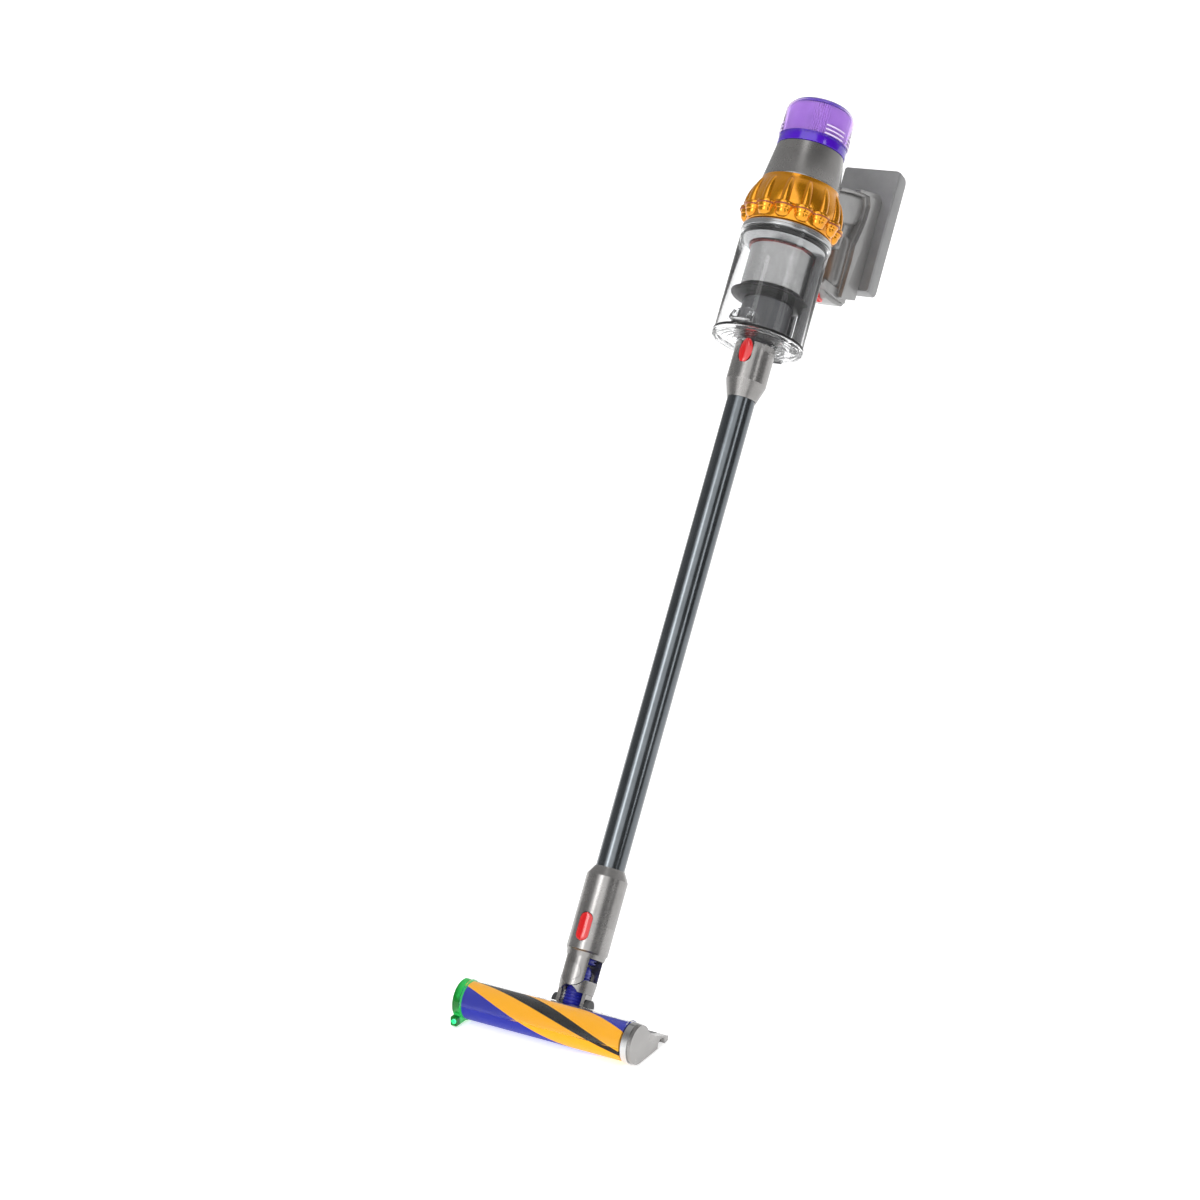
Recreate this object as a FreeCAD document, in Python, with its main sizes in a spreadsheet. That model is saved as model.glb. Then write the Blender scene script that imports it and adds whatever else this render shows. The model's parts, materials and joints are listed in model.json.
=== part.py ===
import FreeCAD, Part
import math
import os
import Sketcher
from FreeCAD import Placement, Rotation, Vector

# A cordless stick vacuum cleaner: hand unit, clear bin, wand, jointed neck and soft-roller floor head.
#
# Row frame: millimetres, +Z up, -Y towards the roller, +X towards the removable end cap.  The floor is
# z = 0 and the origin is under the pitch pivot of the neck.
# Everything above the pivot stands in the wand frame, which leans back from the pivot: its local Z runs
# up the wand, its local Y points back, and its local X is the row's X.

DIMENSIONS = {
    # the lean of the wand, and the pitch pivot in the head
    "pivot_height": 27.5, "lean_angle": 32.3,
    # heights along the wand, measured from the pitch pivot
    "roll_pivot_at": 38.0, "window_top": 58.0, "sleeve_low": 64.0, "split_at": 100.0,
    "lower_cone_at": 160.0, "tube_low": 172.0, "tube_high": 795.5, "upper_cone_at": 818.0,
    "collar_top": 868.0, "base_low": 871.0, "base_high": 879.0, "bin_top": 1015.0,
    "skirt_low": 928.0, "shroud_low": 944.0, "shroud_top": 999.0, "crown_low": 1006.0,
    "crown_top": 1025.0, "cup_low": 1026.0, "flange_low": 1043.0, "flange_high": 1047.5,
    "cyclone_top": 1091.0, "motor_top": 1141.0, "band_top": 1152.0, "filter_top": 1206.0,
    # radii
    "neck_radius": 24.2, "collar_radius": 26.5, "tube_radius": 18.5, "tube_wall": 1.8,
    "bin_radius": 59.0, "bin_wall": 2.0, "base_radius": 60.4, "shroud_radius": 42.0,
    "dust_tube_radius": 33.0, "cyclone_top_radius": 52.2, "cyclone_radius": 63.5,
    "flange_radius": 56.0, "lobe_radius": 12.8, "cone_count": 14.0,
    "motor_radius": 45.0, "filter_radius": 45.6, "pod_radius": 24.0, "hose_radius": 13.0,
    "pin_radius": 4.0, "pin_bore": 4.05, "disc_radius": 10.5,
    # release buttons of the wand, measured back from a plane in front of the collars
    "button_start": -40.0, "wand_button_depth": 15.5, "head_button_depth": 17.0, "button_travel": 2.0,
    "wand_button_half": 9.0, "head_button_half": 8.5, "button_gap": 0.3, "button_stands": 1.2,
    # hinge of the bin's base
    "hinge_back": -64.0, "hinge_rise": 3.5, "hinge_pin_radius": 1.5, "hinge_bore": 1.55,
    "knuckle_radius": 2.9, "knuckle_half": 7.9, "ear_half": 14.0,
    # hand grip, battery housing and battery
    "grip_half": 17.0, "trunk_half": 19.0, "housing_half": 27.0, "housing_low": 1006.0,
    "housing_high": 1165.0, "housing_front": 160.0, "battery_front": 190.3, "battery_half": 41.0,
    "battery_depth": 30.0, "battery_low": 1030.0, "battery_high": 1207.0,
    # floor head
    "head_half": 125.0, "roller_back": -53.0, "roller_axis_up": 27.0, "roller_radius": 23.6,
    "roller_left": -114.0, "roller_right": 111.0, "cover_radius": 26.6, "cover_wall": 1.2,
    "chassis_low": 3.5, "chassis_high": 34.0, "wheel_radius": 8.0, "wheel_width": 7.0,
}

doc = FreeCAD.newDocument("stick_vacuum")
sheet = doc.addObject("Spreadsheet::Sheet", "dims")
for row, (alias, value) in enumerate(DIMENSIONS.items(), start=1):
    sheet.set("A%d" % row, alias)
    sheet.set("B%d" % row, str(value))
    sheet.setAlias("B%d" % row, alias)
doc.recompute()

NODES = []


def dim(alias):
    """The present value of one cell of the sheet."""
    return float(getattr(sheet, alias))


LEAN = Placement(Vector(0, 0, dim("pivot_height")), Rotation(Vector(1, 0, 0), -dim("lean_angle")))
LEVEL = Placement()


def bind(thing, **expressions):
    """Bind properties of a document object to the sheet; a double underscore stands for a dot."""
    for name, expression in expressions.items():
        thing.setExpression(name.replace("__", "."), str(expression))


def node(thing, label, placement=LEAN):
    """Name a finished sub-part and stand it in the row frame; a bare primitive keeps its own place."""
    if thing.TypeId in ("Part::Box", "Part::Cylinder"):
        piece = doc.addObject("Part::Compound", label + "_piece")
        piece.Links = [thing]
        thing = piece
    thing.Label = label
    thing.Placement = placement
    NODES.append(thing)
    return thing


# ---------------------------------------------------------------------------------------------
# Part Design helpers: bodies, sketches whose corners are bound to the sheet, and their features
# ---------------------------------------------------------------------------------------------

def new_body(name):
    return doc.addObject("PartDesign::Body", name + "_body")


def plane_sketch(body, name, role, offset=None):
    """A sketch on one of the body's own planes, moved along the plane's normal by an expression."""
    sketch = body.newObject("Sketcher::SketchObject", name)
    plane = [feature for feature in body.Origin.OriginFeatures if feature.Role == role][0]
    sketch.AttachmentSupport = [(plane, "")]
    sketch.MapMode = "FlatFace"
    if offset is not None:
        sketch.setExpression("AttachmentOffset.Base.z", str(offset))
    return sketch


def pin_point(sketch, geometry, point, across, up):
    """Hold one sketch point at two expressions, measured from the sketch's origin."""
    for kind, expression, axis in (("DistanceX", across, -2), ("DistanceY", up, -1)):
        value = float(sketch.evalExpression(str(expression)))
        if abs(value) < 1e-9:
            sketch.addConstraint(Sketcher.Constraint("PointOnObject", geometry, point, axis))
            continue
        index = sketch.addConstraint(Sketcher.Constraint(kind, -1, 1, geometry, point, value))
        sketch.setExpression("Constraints[%d]" % index, str(expression))


def outline(sketch, corners):
    """A closed outline of straight edges; each corner is a pair of expressions."""
    spots = []
    for across, up in corners:
        x = float(sketch.evalExpression(str(across)))
        y = float(sketch.evalExpression(str(up)))
        spots.append(Vector(x, y, 0))
    first = sketch.GeometryCount
    count = len(spots)
    for index in range(count):
        sketch.addGeometry(Part.LineSegment(spots[index], spots[(index + 1) % count]), False)
    for index in range(count):
        following = first + (index + 1) % count
        sketch.addConstraint(Sketcher.Constraint("Coincident", first + index, 2, following, 1))
    for index, (across, up) in enumerate(corners):
        pin_point(sketch, first + index, 1, across, up)
    return sketch


def circle(sketch, across, up, radius):
    """A circle whose centre and radius are expressions."""
    x = float(sketch.evalExpression(str(across)))
    y = float(sketch.evalExpression(str(up)))
    r = float(sketch.evalExpression(str(radius)))
    index = sketch.addGeometry(Part.Circle(Vector(x, y, 0), Vector(0, 0, 1), r), False)
    pin_point(sketch, index, 3, across, up)
    radius_index = sketch.addConstraint(Sketcher.Constraint("Radius", index, r))
    sketch.setExpression("Constraints[%d]" % radius_index, str(radius))
    return sketch


def revolve(body, name, corners):
    """Turn an outline of (radius, height) corners about the local Z axis."""
    sketch = plane_sketch(body, name + "_profile", "XZ_Plane")
    outline(sketch, corners)
    turn = body.newObject("PartDesign::Revolution", name)
    turn.Profile = sketch
    turn.ReferenceAxis = (sketch, ["V_Axis"])
    turn.Angle = 360
    body.Tip = turn
    return turn


def pad(body, name, sketch, length, midplane=False, reverse=False):
    feature = body.newObject("PartDesign::Pad", name)
    feature.Profile = sketch
    feature.Midplane = midplane
    feature.Reversed = reverse
    feature.setExpression("Length", str(length))
    body.Tip = feature
    return feature


def pocket(body, name, sketch, length, midplane=False, reverse=False):
    """Cut a sketch into the body, and make sure that the cut takes material away."""
    doc.recompute()
    before = body.Shape.Volume
    feature = body.newObject("PartDesign::Pocket", name)
    feature.Profile = sketch
    feature.Midplane = midplane
    feature.Reversed = reverse
    feature.setExpression("Length", str(length))
    body.Tip = feature
    doc.recompute()
    if not body.Shape.Volume < before - 0.01:
        raise ValueError(name + " cuts nothing")
    return feature


def fillet(body, name, radius, wanted):
    """Round the edges of the body whose middle point passes the test."""
    doc.recompute()
    base = body.Tip
    picked = []
    for index, edge in enumerate(base.Shape.Edges, start=1):
        middle = edge.valueAt((edge.FirstParameter + edge.LastParameter) / 2)
        if wanted(middle, edge):
            picked.append("Edge%d" % index)
    feature = body.newObject("PartDesign::Fillet", name)
    feature.Base = (base, picked)
    feature.setExpression("Radius", str(radius))
    body.Tip = feature
    return feature


def around(body, name, feature, count):
    """Repeat a feature evenly round the local Z axis."""
    pattern = body.newObject("PartDesign::PolarPattern", name)
    pattern.Originals = [feature]
    axis = [item for item in body.Origin.OriginFeatures if item.Role == "Z_Axis"][0]
    pattern.Axis = (axis, [""])
    pattern.Angle = 360
    pattern.setExpression("Occurrences", str(count))
    body.Tip = pattern
    return pattern


# ---------------------------------------------------------------------------------------------
# Part helpers: primitives and booleans
# ---------------------------------------------------------------------------------------------

def box(name, x, y, z, size):
    """A box from its low corner and its three sizes, all expressions."""
    thing = doc.addObject("Part::Box", name)
    bind(thing, Length=size[0], Width=size[1], Height=size[2])
    bind(thing, Placement__Base__x=x, Placement__Base__y=y, Placement__Base__z=z)
    return thing


AXES = {
    "X": Rotation(Vector(0, 1, 0), 90),
    "Y": Rotation(Vector(1, 0, 0), -90),
    "Z": Rotation(),
}


def rod(name, along, x, y, z, radius, length):
    """A cylinder that starts at a point and runs along one local axis."""
    thing = doc.addObject("Part::Cylinder", name)
    thing.Placement = Placement(Vector(), AXES[along])
    bind(thing, Radius=radius, Height=length)
    bind(thing, Placement__Base__x=x, Placement__Base__y=y, Placement__Base__z=z)
    return thing


def ball(name, x, y, z, radius):
    thing = doc.addObject("Part::Sphere", name)
    bind(thing, Radius=radius)
    bind(thing, Placement__Base__x=x, Placement__Base__y=y, Placement__Base__z=z)
    return thing


def fuse(name, things):
    joined = doc.addObject("Part::MultiFuse", name)
    joined.Shapes = things
    return joined


def common(name, things):
    shared = doc.addObject("Part::MultiCommon", name)
    shared.Shapes = things
    return shared


def cut(name, base, tools):
    """Take one or more shapes away from a base."""
    tool = tools[0] if len(tools) == 1 else fuse(name + "_tools", tools)
    result = doc.addObject("Part::Cut", name)
    result.Base = base
    result.Tool = tool
    return result


def tube(name, along, x, y, z, outer, inner, length):
    """A plain tube."""
    skin = rod(name + "_skin", along, x, y, z, outer, length)
    hollow = rod(name + "_hollow", along, x, y, z, inner, length)
    return cut(name, skin, [hollow])


def slab(body_name, role, offset, corners, thickness, midplane=False):
    """A body padded from one straight-edged outline."""
    body = new_body(body_name)
    sketch = plane_sketch(body, body_name + "_outline", role, offset)
    outline(sketch, corners)
    pad(body, body_name + "_pad", sketch, thickness, midplane)
    return body


def rounded_prism(name, x_half, back_low, back_high, low, high, corner, rim=None):
    """A block with rounded upright corners and, if asked for, softened ends."""
    body = new_body(name)
    sketch = plane_sketch(body, name + "_plan", "XY_Plane", low)
    corners = [("-(%s)" % x_half, back_low), (x_half, back_low),
               (x_half, back_high), ("-(%s)" % x_half, back_high)]
    outline(sketch, corners)
    pad(body, name + "_pad", sketch, "%s - (%s)" % (high, low))
    fillet(body, name + "_corners", corner, lambda middle, edge: is_upright(edge))
    if rim is not None:
        bottom = float(sheet.evalExpression(str(low)))
        top = float(sheet.evalExpression(str(high)))
        fillet(body, name + "_rims", rim,
               lambda middle, edge: min(abs(middle.z - bottom), abs(middle.z - top)) < 0.01)
    return body


def is_upright(edge):
    start = edge.valueAt(edge.FirstParameter)
    finish = edge.valueAt(edge.LastParameter)
    return math.hypot(start.x - finish.x, start.y - finish.y) < 0.01


# ---------------------------------------------------------------------------------------------
# Hand unit: motor, filter seat and display
# ---------------------------------------------------------------------------------------------

def motor_parts():
    body = new_body("motor_housing")
    revolve(body, "motor_shell", [
        ("26", "dims.cyclone_top + 0.1"), ("dims.cyclone_top_radius", "dims.cyclone_top + 0.1"),
        ("dims.motor_radius", "dims.motor_top"), ("dims.motor_radius - 3", "dims.motor_top"),
        ("dims.cyclone_top_radius - 6", "dims.cyclone_top + 4"), ("26", "dims.cyclone_top + 4")])
    node(body, "motor_housing")

    body = new_body("motor_can")
    revolve(body, "can", [
        ("3.06", "dims.cyclone_top + 4.1"), ("22", "dims.cyclone_top + 4.1"),
        ("22", "dims.cyclone_top + 13"), ("38", "dims.cyclone_top + 16"),
        ("41", "dims.cyclone_top + 16"), ("41", "dims.cyclone_top + 19"), ("22", "dims.cyclone_top + 19"),
        ("22", "dims.motor_top + 0.1"), ("3.06", "dims.motor_top + 0.1")])
    vent = plane_sketch(body, "mount_vent", "XY_Plane", "dims.cyclone_top + 11")
    circle(vent, "31.5", "0", "4.5")
    opening = pocket(body, "mount_vents", vent, "10", reverse=True)
    around(body, "mount_vent_ring", opening, "8")
    node(body, "motor_can")

    body = new_body("impeller")
    revolve(body, "hub", [
        ("0", "dims.cyclone_top - 28"), ("3", "dims.cyclone_top - 28"), ("3", "dims.cyclone_top - 26"),
        ("12", "dims.cyclone_top - 26"), ("24", "dims.cyclone_top - 12"), ("24", "dims.cyclone_top - 10"),
        ("3", "dims.cyclone_top - 10"), ("3", "dims.motor_top - 6"), ("0", "dims.motor_top - 6")])
    blade = plane_sketch(body, "blade_plan", "XY_Plane", "dims.cyclone_top - 26")
    outline(blade, [("8", "-0.7"), ("23.5", "-0.7"), ("23.5", "0.7"), ("8", "0.7")])
    vane = pad(body, "vane", blade, "15")
    around(body, "vanes", vane, "9")
    node(body, "impeller")

    body = new_body("display_pod")
    revolve(body, "pod", [
        ("4", "dims.motor_top + 0.2"), ("dims.pod_radius", "dims.motor_top + 0.2"),
        ("dims.pod_radius", "dims.filter_top - 2"), ("dims.pod_radius - 2", "dims.filter_top"),
        ("dims.pod_radius - 3.5", "dims.filter_top"), ("dims.pod_radius - 3.5", "dims.filter_top - 6"),
        ("4", "dims.filter_top - 6")])
    node(body, "display_pod")
    node(rod("circuit_board_disc", "Z", "0", "0", "dims.filter_top - 5.9", "dims.pod_radius - 4", "1.6"),
         "circuit_board")
    lens = rod("display_lens_disc", "Z", "0", "0", "dims.filter_top - 2.2",
               "dims.pod_radius - 3.7", "2")
    gap = rod("button_hole", "Z", "0", "12", "dims.filter_top - 3", "4.4", "4")
    node(cut("display_lens_cut", lens, [gap]), "display_lens")
    cap = rod("mode_button_cap", "Z", "0", "12", "dims.filter_top - 3.2", "4.1", "4")
    node(cap, "mode_button")


def filter_parts():
    body = new_body("filter_band")
    revolve(body, "band", [
        ("dims.pod_radius + 4", "dims.motor_top + 0.4"), ("dims.filter_radius", "dims.motor_top + 0.4"),
        ("dims.filter_radius", "dims.band_top"), ("dims.pod_radius + 4", "dims.band_top")])
    node(body, "filter_band")

    body = new_body("filter_shell")
    revolve(body, "shell", [
        ("dims.filter_radius - 2", "dims.band_top"), ("dims.filter_radius", "dims.band_top"),
        ("dims.filter_radius", "dims.filter_top - 18"), ("dims.filter_radius - 1.6", "dims.filter_top - 10"),
        ("dims.filter_radius - 6", "dims.filter_top - 3.5"), ("dims.filter_radius - 14", "dims.filter_top"),
        ("dims.pod_radius + 1", "dims.filter_top"), ("dims.pod_radius + 1", "dims.filter_top - 2.5"),
        ("dims.filter_radius - 15", "dims.filter_top - 2.5"),
        ("dims.filter_radius - 8", "dims.filter_top - 6"),
        ("dims.filter_radius - 3.6", "dims.filter_top - 12"),
        ("dims.filter_radius - 2", "dims.filter_top - 18")])
    rib = plane_sketch(body, "rib_plan", "XY_Plane", "dims.motor_top + 20")
    outline(rib, [("dims.filter_radius - 1", "-7"), ("dims.filter_radius + 0.4", "-7"),
                  ("dims.filter_radius + 0.4", "7"), ("dims.filter_radius - 1", "7")])
    bar = pad(body, "rib_bar", rib, "2")
    around(body, "rib_bars", bar, "6")
    node(body, "filter_shell")

    body = new_body("filter_media")
    revolve(body, "media", [
        ("dims.pod_radius + 2", "dims.band_top + 0.3"), ("dims.filter_radius - 5", "dims.band_top + 0.3"),
        ("dims.filter_radius - 5", "dims.filter_top - 16"), ("dims.pod_radius + 2", "dims.filter_top - 16")])
    node(body, "filter_media")


# ---------------------------------------------------------------------------------------------
# Hand unit: cyclones, shroud and ducts that stand inside the bin
# ---------------------------------------------------------------------------------------------

def wedge(start, finish):
    """A wedge of the plan between two angles, big enough to reach past the bin."""
    return [("0", "0"), ("90 * cos(%s)" % start, "90 * sin(%s)" % start),
            ("90 * cos(%s)" % finish, "90 * sin(%s)" % finish)]


SECTOR = wedge(12, 52)
SECTOR_WIDE = wedge(10.5, 53.5)
SECTOR_NARROW = wedge(14, 50)


def cyclone_parts():
    body = new_body("cyclone_pack")
    revolve(body, "pack", [
        ("28", "dims.flange_high"), ("dims.cyclone_radius", "dims.flange_high"),
        ("dims.cyclone_radius - 1", "dims.flange_high + 14"),
        ("dims.cyclone_radius - 4.5", "dims.cyclone_top - 15"),
        ("dims.cyclone_top_radius + 1.5", "dims.cyclone_top - 3"),
        ("dims.cyclone_top_radius", "dims.cyclone_top"), ("28", "dims.cyclone_top")])
    ridge = plane_sketch(body, "ridge_side", "XZ_Plane")
    outline(ridge, [("dims.cyclone_radius - 9", "dims.flange_high"),
                    ("dims.cyclone_radius + 2.6", "dims.flange_high"),
                    ("dims.cyclone_radius + 0.6", "dims.flange_high + 15"),
                    ("dims.cyclone_top_radius + 2.2", "dims.cyclone_top - 6"),
                    ("dims.cyclone_top_radius - 6", "dims.cyclone_top - 6")])
    bar = pad(body, "ridge", ridge, "6.5", midplane=True)
    around(body, "ridges", bar, "dims.cone_count")
    node(body, "cyclone_pack")

    lobes = [rod("flange_plate", "Z", "0", "0", "dims.flange_low", "dims.flange_radius + 5",
                 "dims.flange_high - dims.flange_low - 0.05")]
    count = int(dim("cone_count"))
    for index in range(count):
        angle = "%d * 360 / dims.cone_count" % index
        lobes.append(rod("flange_lobe_%d" % index, "Z", "(dims.flange_radius - 0.6) * cos(%s)" % angle,
                         "(dims.flange_radius - 0.6) * sin(%s)" % angle, "dims.flange_low",
                         "dims.lobe_radius", "dims.flange_high - dims.flange_low - 0.05"))
    bore = rod("flange_bore", "Z", "0", "0", "dims.flange_low - 1", "28", "8")
    node(cut("flange_cut", fuse("flange_lobes", lobes), [bore]), "cyclone_flange")

    body = new_body("cyclone_cups")
    revolve(body, "cup_ring", [
        ("30", "dims.cup_low"), ("dims.flange_radius - 2", "dims.cup_low"),
        ("dims.flange_radius + 2", "dims.flange_low - 0.05"), ("30", "dims.flange_low - 0.05")])
    cup = body.newObject("PartDesign::AdditiveCone", "cup")
    bind(cup, Radius1="7.5", Radius2="dims.lobe_radius - 1.6", Height="dims.flange_low - dims.cup_low - 2")
    bind(cup, AttachmentOffset__Base__x="dims.flange_radius - 1.5",
         AttachmentOffset__Base__z="dims.cup_low + 1.9")
    plane = [feature for feature in body.Origin.OriginFeatures if feature.Role == "XY_Plane"][0]
    cup.AttachmentSupport = [(plane, "")]
    cup.MapMode = "FlatFace"
    body.Tip = cup
    doc.recompute()
    around(body, "cups", cup, "dims.cone_count")
    node(body, "cyclone_cups")

    body = new_body("bin_crown")
    revolve(body, "crown", [
        ("36", "dims.crown_low + 0.1"), ("46", "dims.crown_low + 0.1"),
        ("54.8", "dims.crown_low + 3"), ("55.4", "dims.bin_top + 1"),
        ("dims.base_radius", "dims.bin_top + 1"), ("dims.base_radius", "dims.crown_top - 1.5"),
        ("dims.base_radius - 1.5", "dims.crown_top"), ("36", "dims.crown_top")])
    groove_side = plane_sketch(body, "seal_groove_profile", "XZ_Plane")
    outline(groove_side, [("53.2", "dims.bin_top - 4.5"), ("58", "dims.bin_top - 4.5"),
                          ("58", "dims.bin_top - 1"), ("53.2", "dims.bin_top - 1")])
    doc.recompute()
    groove = body.newObject("PartDesign::Groove", "seal_groove")
    groove.Profile = groove_side
    groove.ReferenceAxis = (groove_side, ["V_Axis"])
    groove.Angle = 360
    body.Tip = groove
    node(body, "bin_crown")

    body = new_body("bin_top_seal")
    revolve(body, "seal", [
        ("53.3", "dims.bin_top - 4.4"), ("56.3", "dims.bin_top - 3.6"),
        ("56.3", "dims.bin_top - 1.9"), ("53.3", "dims.bin_top - 1.1")])
    node(body, "bin_top_seal")

    node(tube("shroud_ring_tube", "Z", "0", "0", "dims.shroud_top + 0.05", "dims.shroud_radius + 3",
              "dims.shroud_radius - 5", "dims.crown_low - dims.shroud_top"), "shroud_seal_ring")
    node(tube("shroud_tube", "Z", "0", "0", "dims.shroud_low + 0.05", "dims.shroud_radius",
              "dims.shroud_radius - 1.4", "dims.shroud_top - dims.shroud_low - 0.05"), "shroud_mesh")

    body = new_body("shroud_skirt")
    revolve(body, "skirt", [
        ("dims.dust_tube_radius + 0.1", "dims.skirt_low"), ("dims.dust_tube_radius + 4", "dims.skirt_low"),
        ("dims.shroud_radius + 10", "dims.shroud_low - 9.5"),
        ("dims.shroud_radius + 10", "dims.shroud_low - 8"), ("dims.shroud_radius + 1", "dims.shroud_low - 2"),
        ("dims.shroud_radius", "dims.shroud_low"), ("dims.dust_tube_radius + 0.1", "dims.shroud_low")])
    notch = slab("skirt_notch", "XY_Plane", "dims.skirt_low - 1", SECTOR_WIDE, "20")
    notch_core = rod("skirt_notch_core", "Z", "0", "0", "dims.skirt_low - 2", "45.7", "30")
    node(cut("skirt_cut", body, [cut("skirt_notch_cut", notch, [notch_core])]), "shroud_skirt")

    node(tube("dust_tube_wall", "Z", "0", "0", "dims.base_high + 1.2", "dims.dust_tube_radius",
              "dims.dust_tube_radius - 1.6", "dims.shroud_low - dims.base_high - 1.2"), "inner_dust_tube")
    node(tube("frame_tube", "Z", "0", "0", "dims.shroud_low + 0.1", "dims.dust_tube_radius - 1",
              "dims.dust_tube_radius - 4", "dims.cup_low - dims.shroud_low - 0.2"), "shroud_frame")

    channel = tube("channel_wall", "Z", "0", "0", "dims.base_high + 1.2", "55.6", "46",
                   "dims.crown_low - dims.base_high - 1.4")
    hollow = tube("channel_hollow", "Z", "0", "0", "dims.base_high - 1", "54.2", "47.4",
                  "dims.crown_low - dims.base_high - 12")
    sector = slab("channel_sector", "XY_Plane", "dims.base_high - 5", SECTOR, "dims.bin_top - dims.base_high")
    inner_sector = slab("hollow_sector", "XY_Plane", "dims.base_high - 5", SECTOR_NARROW,
                        "dims.bin_top - dims.base_high")
    wall = common("channel_part", [channel, sector])
    node(cut("channel_cut", wall, [common("hollow_part", [hollow, inner_sector])]), "inlet_duct")


def rail_parts():
    """The rail behind the bin, its bracket to the cyclones and the red lever that lets the bin go."""
    rail = box("rail_bar", "-11", "62.5", "905", ("22", "7.5", "dims.flange_low - 905 - 12"))
    root = box("rail_root", "-11", "dims.base_radius + 0.05", "dims.bin_top + 2", ("22", "14",
               "dims.crown_top - dims.bin_top - 3"))
    slot = box("rail_slot", "-6.4", "66", "928", ("12.8", "8", "52"))
    node(cut("rail_cut", fuse("rail_fuse", [rail, root]), [slot]), "bin_rail")
    plate = box("lever_plate", "-6", "66.3", "945", ("12", "4.2", "34.5"))
    thumb = box("lever_thumb", "-6", "70.5", "945", ("12", "6", "6"))
    node(fuse("lever_fuse", [plate, thumb]), "bin_release_lever")


# ---------------------------------------------------------------------------------------------
# Hand grip, battery housing and battery
# ---------------------------------------------------------------------------------------------

def handle_parts():
    body = slab("grip", "YZ_Plane", None, [
        ("40", "1074"), ("75", "1080"), ("112", "1090"), ("134", "1096"), ("161", "1096"),
        ("161", "dims.housing_high - 14"), ("145", "1148"), ("75", "1127"), ("40", "1124")],
        "2 * dims.grip_half", midplane=True)
    half = dim("grip_half")
    fillet(body, "grip_rounding", "13", lambda middle, edge: abs(abs(middle.x) - half) < 0.01
           and 41 < middle.y < 160)
    trunk = rounded_prism("trunk", "dims.trunk_half", "131", "173", "1012.5", "1112", "15")
    room_low = doc.addObject("Part::Cone", "motor_room")
    bind(room_low, Radius1="dims.cyclone_top_radius + 0.05", Radius2="dims.motor_radius + 0.05",
         Height="dims.motor_top - dims.cyclone_top", Placement__Base__z="dims.cyclone_top")
    cyclone_room = rod("cyclone_room", "Z", "0", "0", "dims.cyclone_top - 60", "dims.cyclone_radius + 3.2",
                       "60")
    housing_room = box("housing_room", "-60", "dims.housing_front", "900", ("120", "60", "400"))
    trigger_slot = box("trigger_slot", "-6.4", "83", "1070", ("12.8", "26.5", "33"))
    solid = cut("handle_solid", fuse("handle_fuse", [body, trunk]),
                [room_low, cyclone_room, housing_room, trigger_slot])
    for label, low in (("handle_half_right", 0.02), ("handle_half_left", -60.02)):
        side = box(label + "_side", str(low), "0", "900", ("60", "300", "400"))
        node(common(label + "_common", [solid, side]), label)

    housing = rounded_prism("housing", "dims.housing_half", "dims.housing_front + 0.05",
                            "dims.battery_front - 0.3", "dims.housing_low", "dims.housing_high", "9", "6")
    ledge = rounded_prism("ledge", "dims.trunk_half", "97", "dims.housing_front + 14", "1001", "1012.4",
                          "8", "2.5")
    button_room = box("release_room", "-7.3", "118", "1000", ("14.6", "18", "8.5"))
    node(cut("housing_cut", fuse("housing_fuse", [housing, ledge]), [button_room]), "battery_housing")
    node(rounded_prism("release", "7", "118.4", "135.6", "987", "1005", "3", "1.2"), "battery_release_button")

    blade = slab("trigger_side", "YZ_Plane", None, [
        ("84", "1072"), ("88", "1068"), ("101", "1070"), ("108", "1078"), ("108", "1092"), ("84", "1092")],
        "12", midplane=True)
    fillet(blade, "trigger_rounding", "2.5", lambda middle, edge: abs(abs(middle.x) - 6) < 0.01
           and middle.z < 1079)
    node(blade, "trigger")


def battery_parts():
    pack = rounded_prism("pack", "dims.battery_half", "dims.battery_front",
                         "dims.battery_front + dims.battery_depth", "dims.battery_low", "dims.battery_high",
                         "8", "5")
    cavity = box("pack_cavity", "-(dims.battery_half - 3)", "dims.battery_front + 1.5",
                 "dims.battery_low + 6", ("2 * dims.battery_half - 6", "dims.battery_depth - 3",
                 "dims.battery_high - dims.battery_low - 12"))
    node(cut("battery_cut", pack, [cavity]), "battery_case")
    cells = []
    for column in range(4):
        for level in range(2):
            cells.append(rod("cell_%d_%d" % (column, level), "Z", "-28.2 + 18.8 * %d" % column,
                             "dims.battery_front + dims.battery_depth / 2", "dims.battery_low + 12 + %d * 72" % level,
                             "9", "68"))
    plate = box("cell_plate", "-37", "dims.battery_front + dims.battery_depth / 2 - 1", "dims.battery_low + 8",
                ("74", "1.6", "dims.battery_high - dims.battery_low - 18"))
    node(fuse("cells_fuse", cells + [plate]), "battery_cells")


# ---------------------------------------------------------------------------------------------
# Clear bin and its base
# ---------------------------------------------------------------------------------------------

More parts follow.
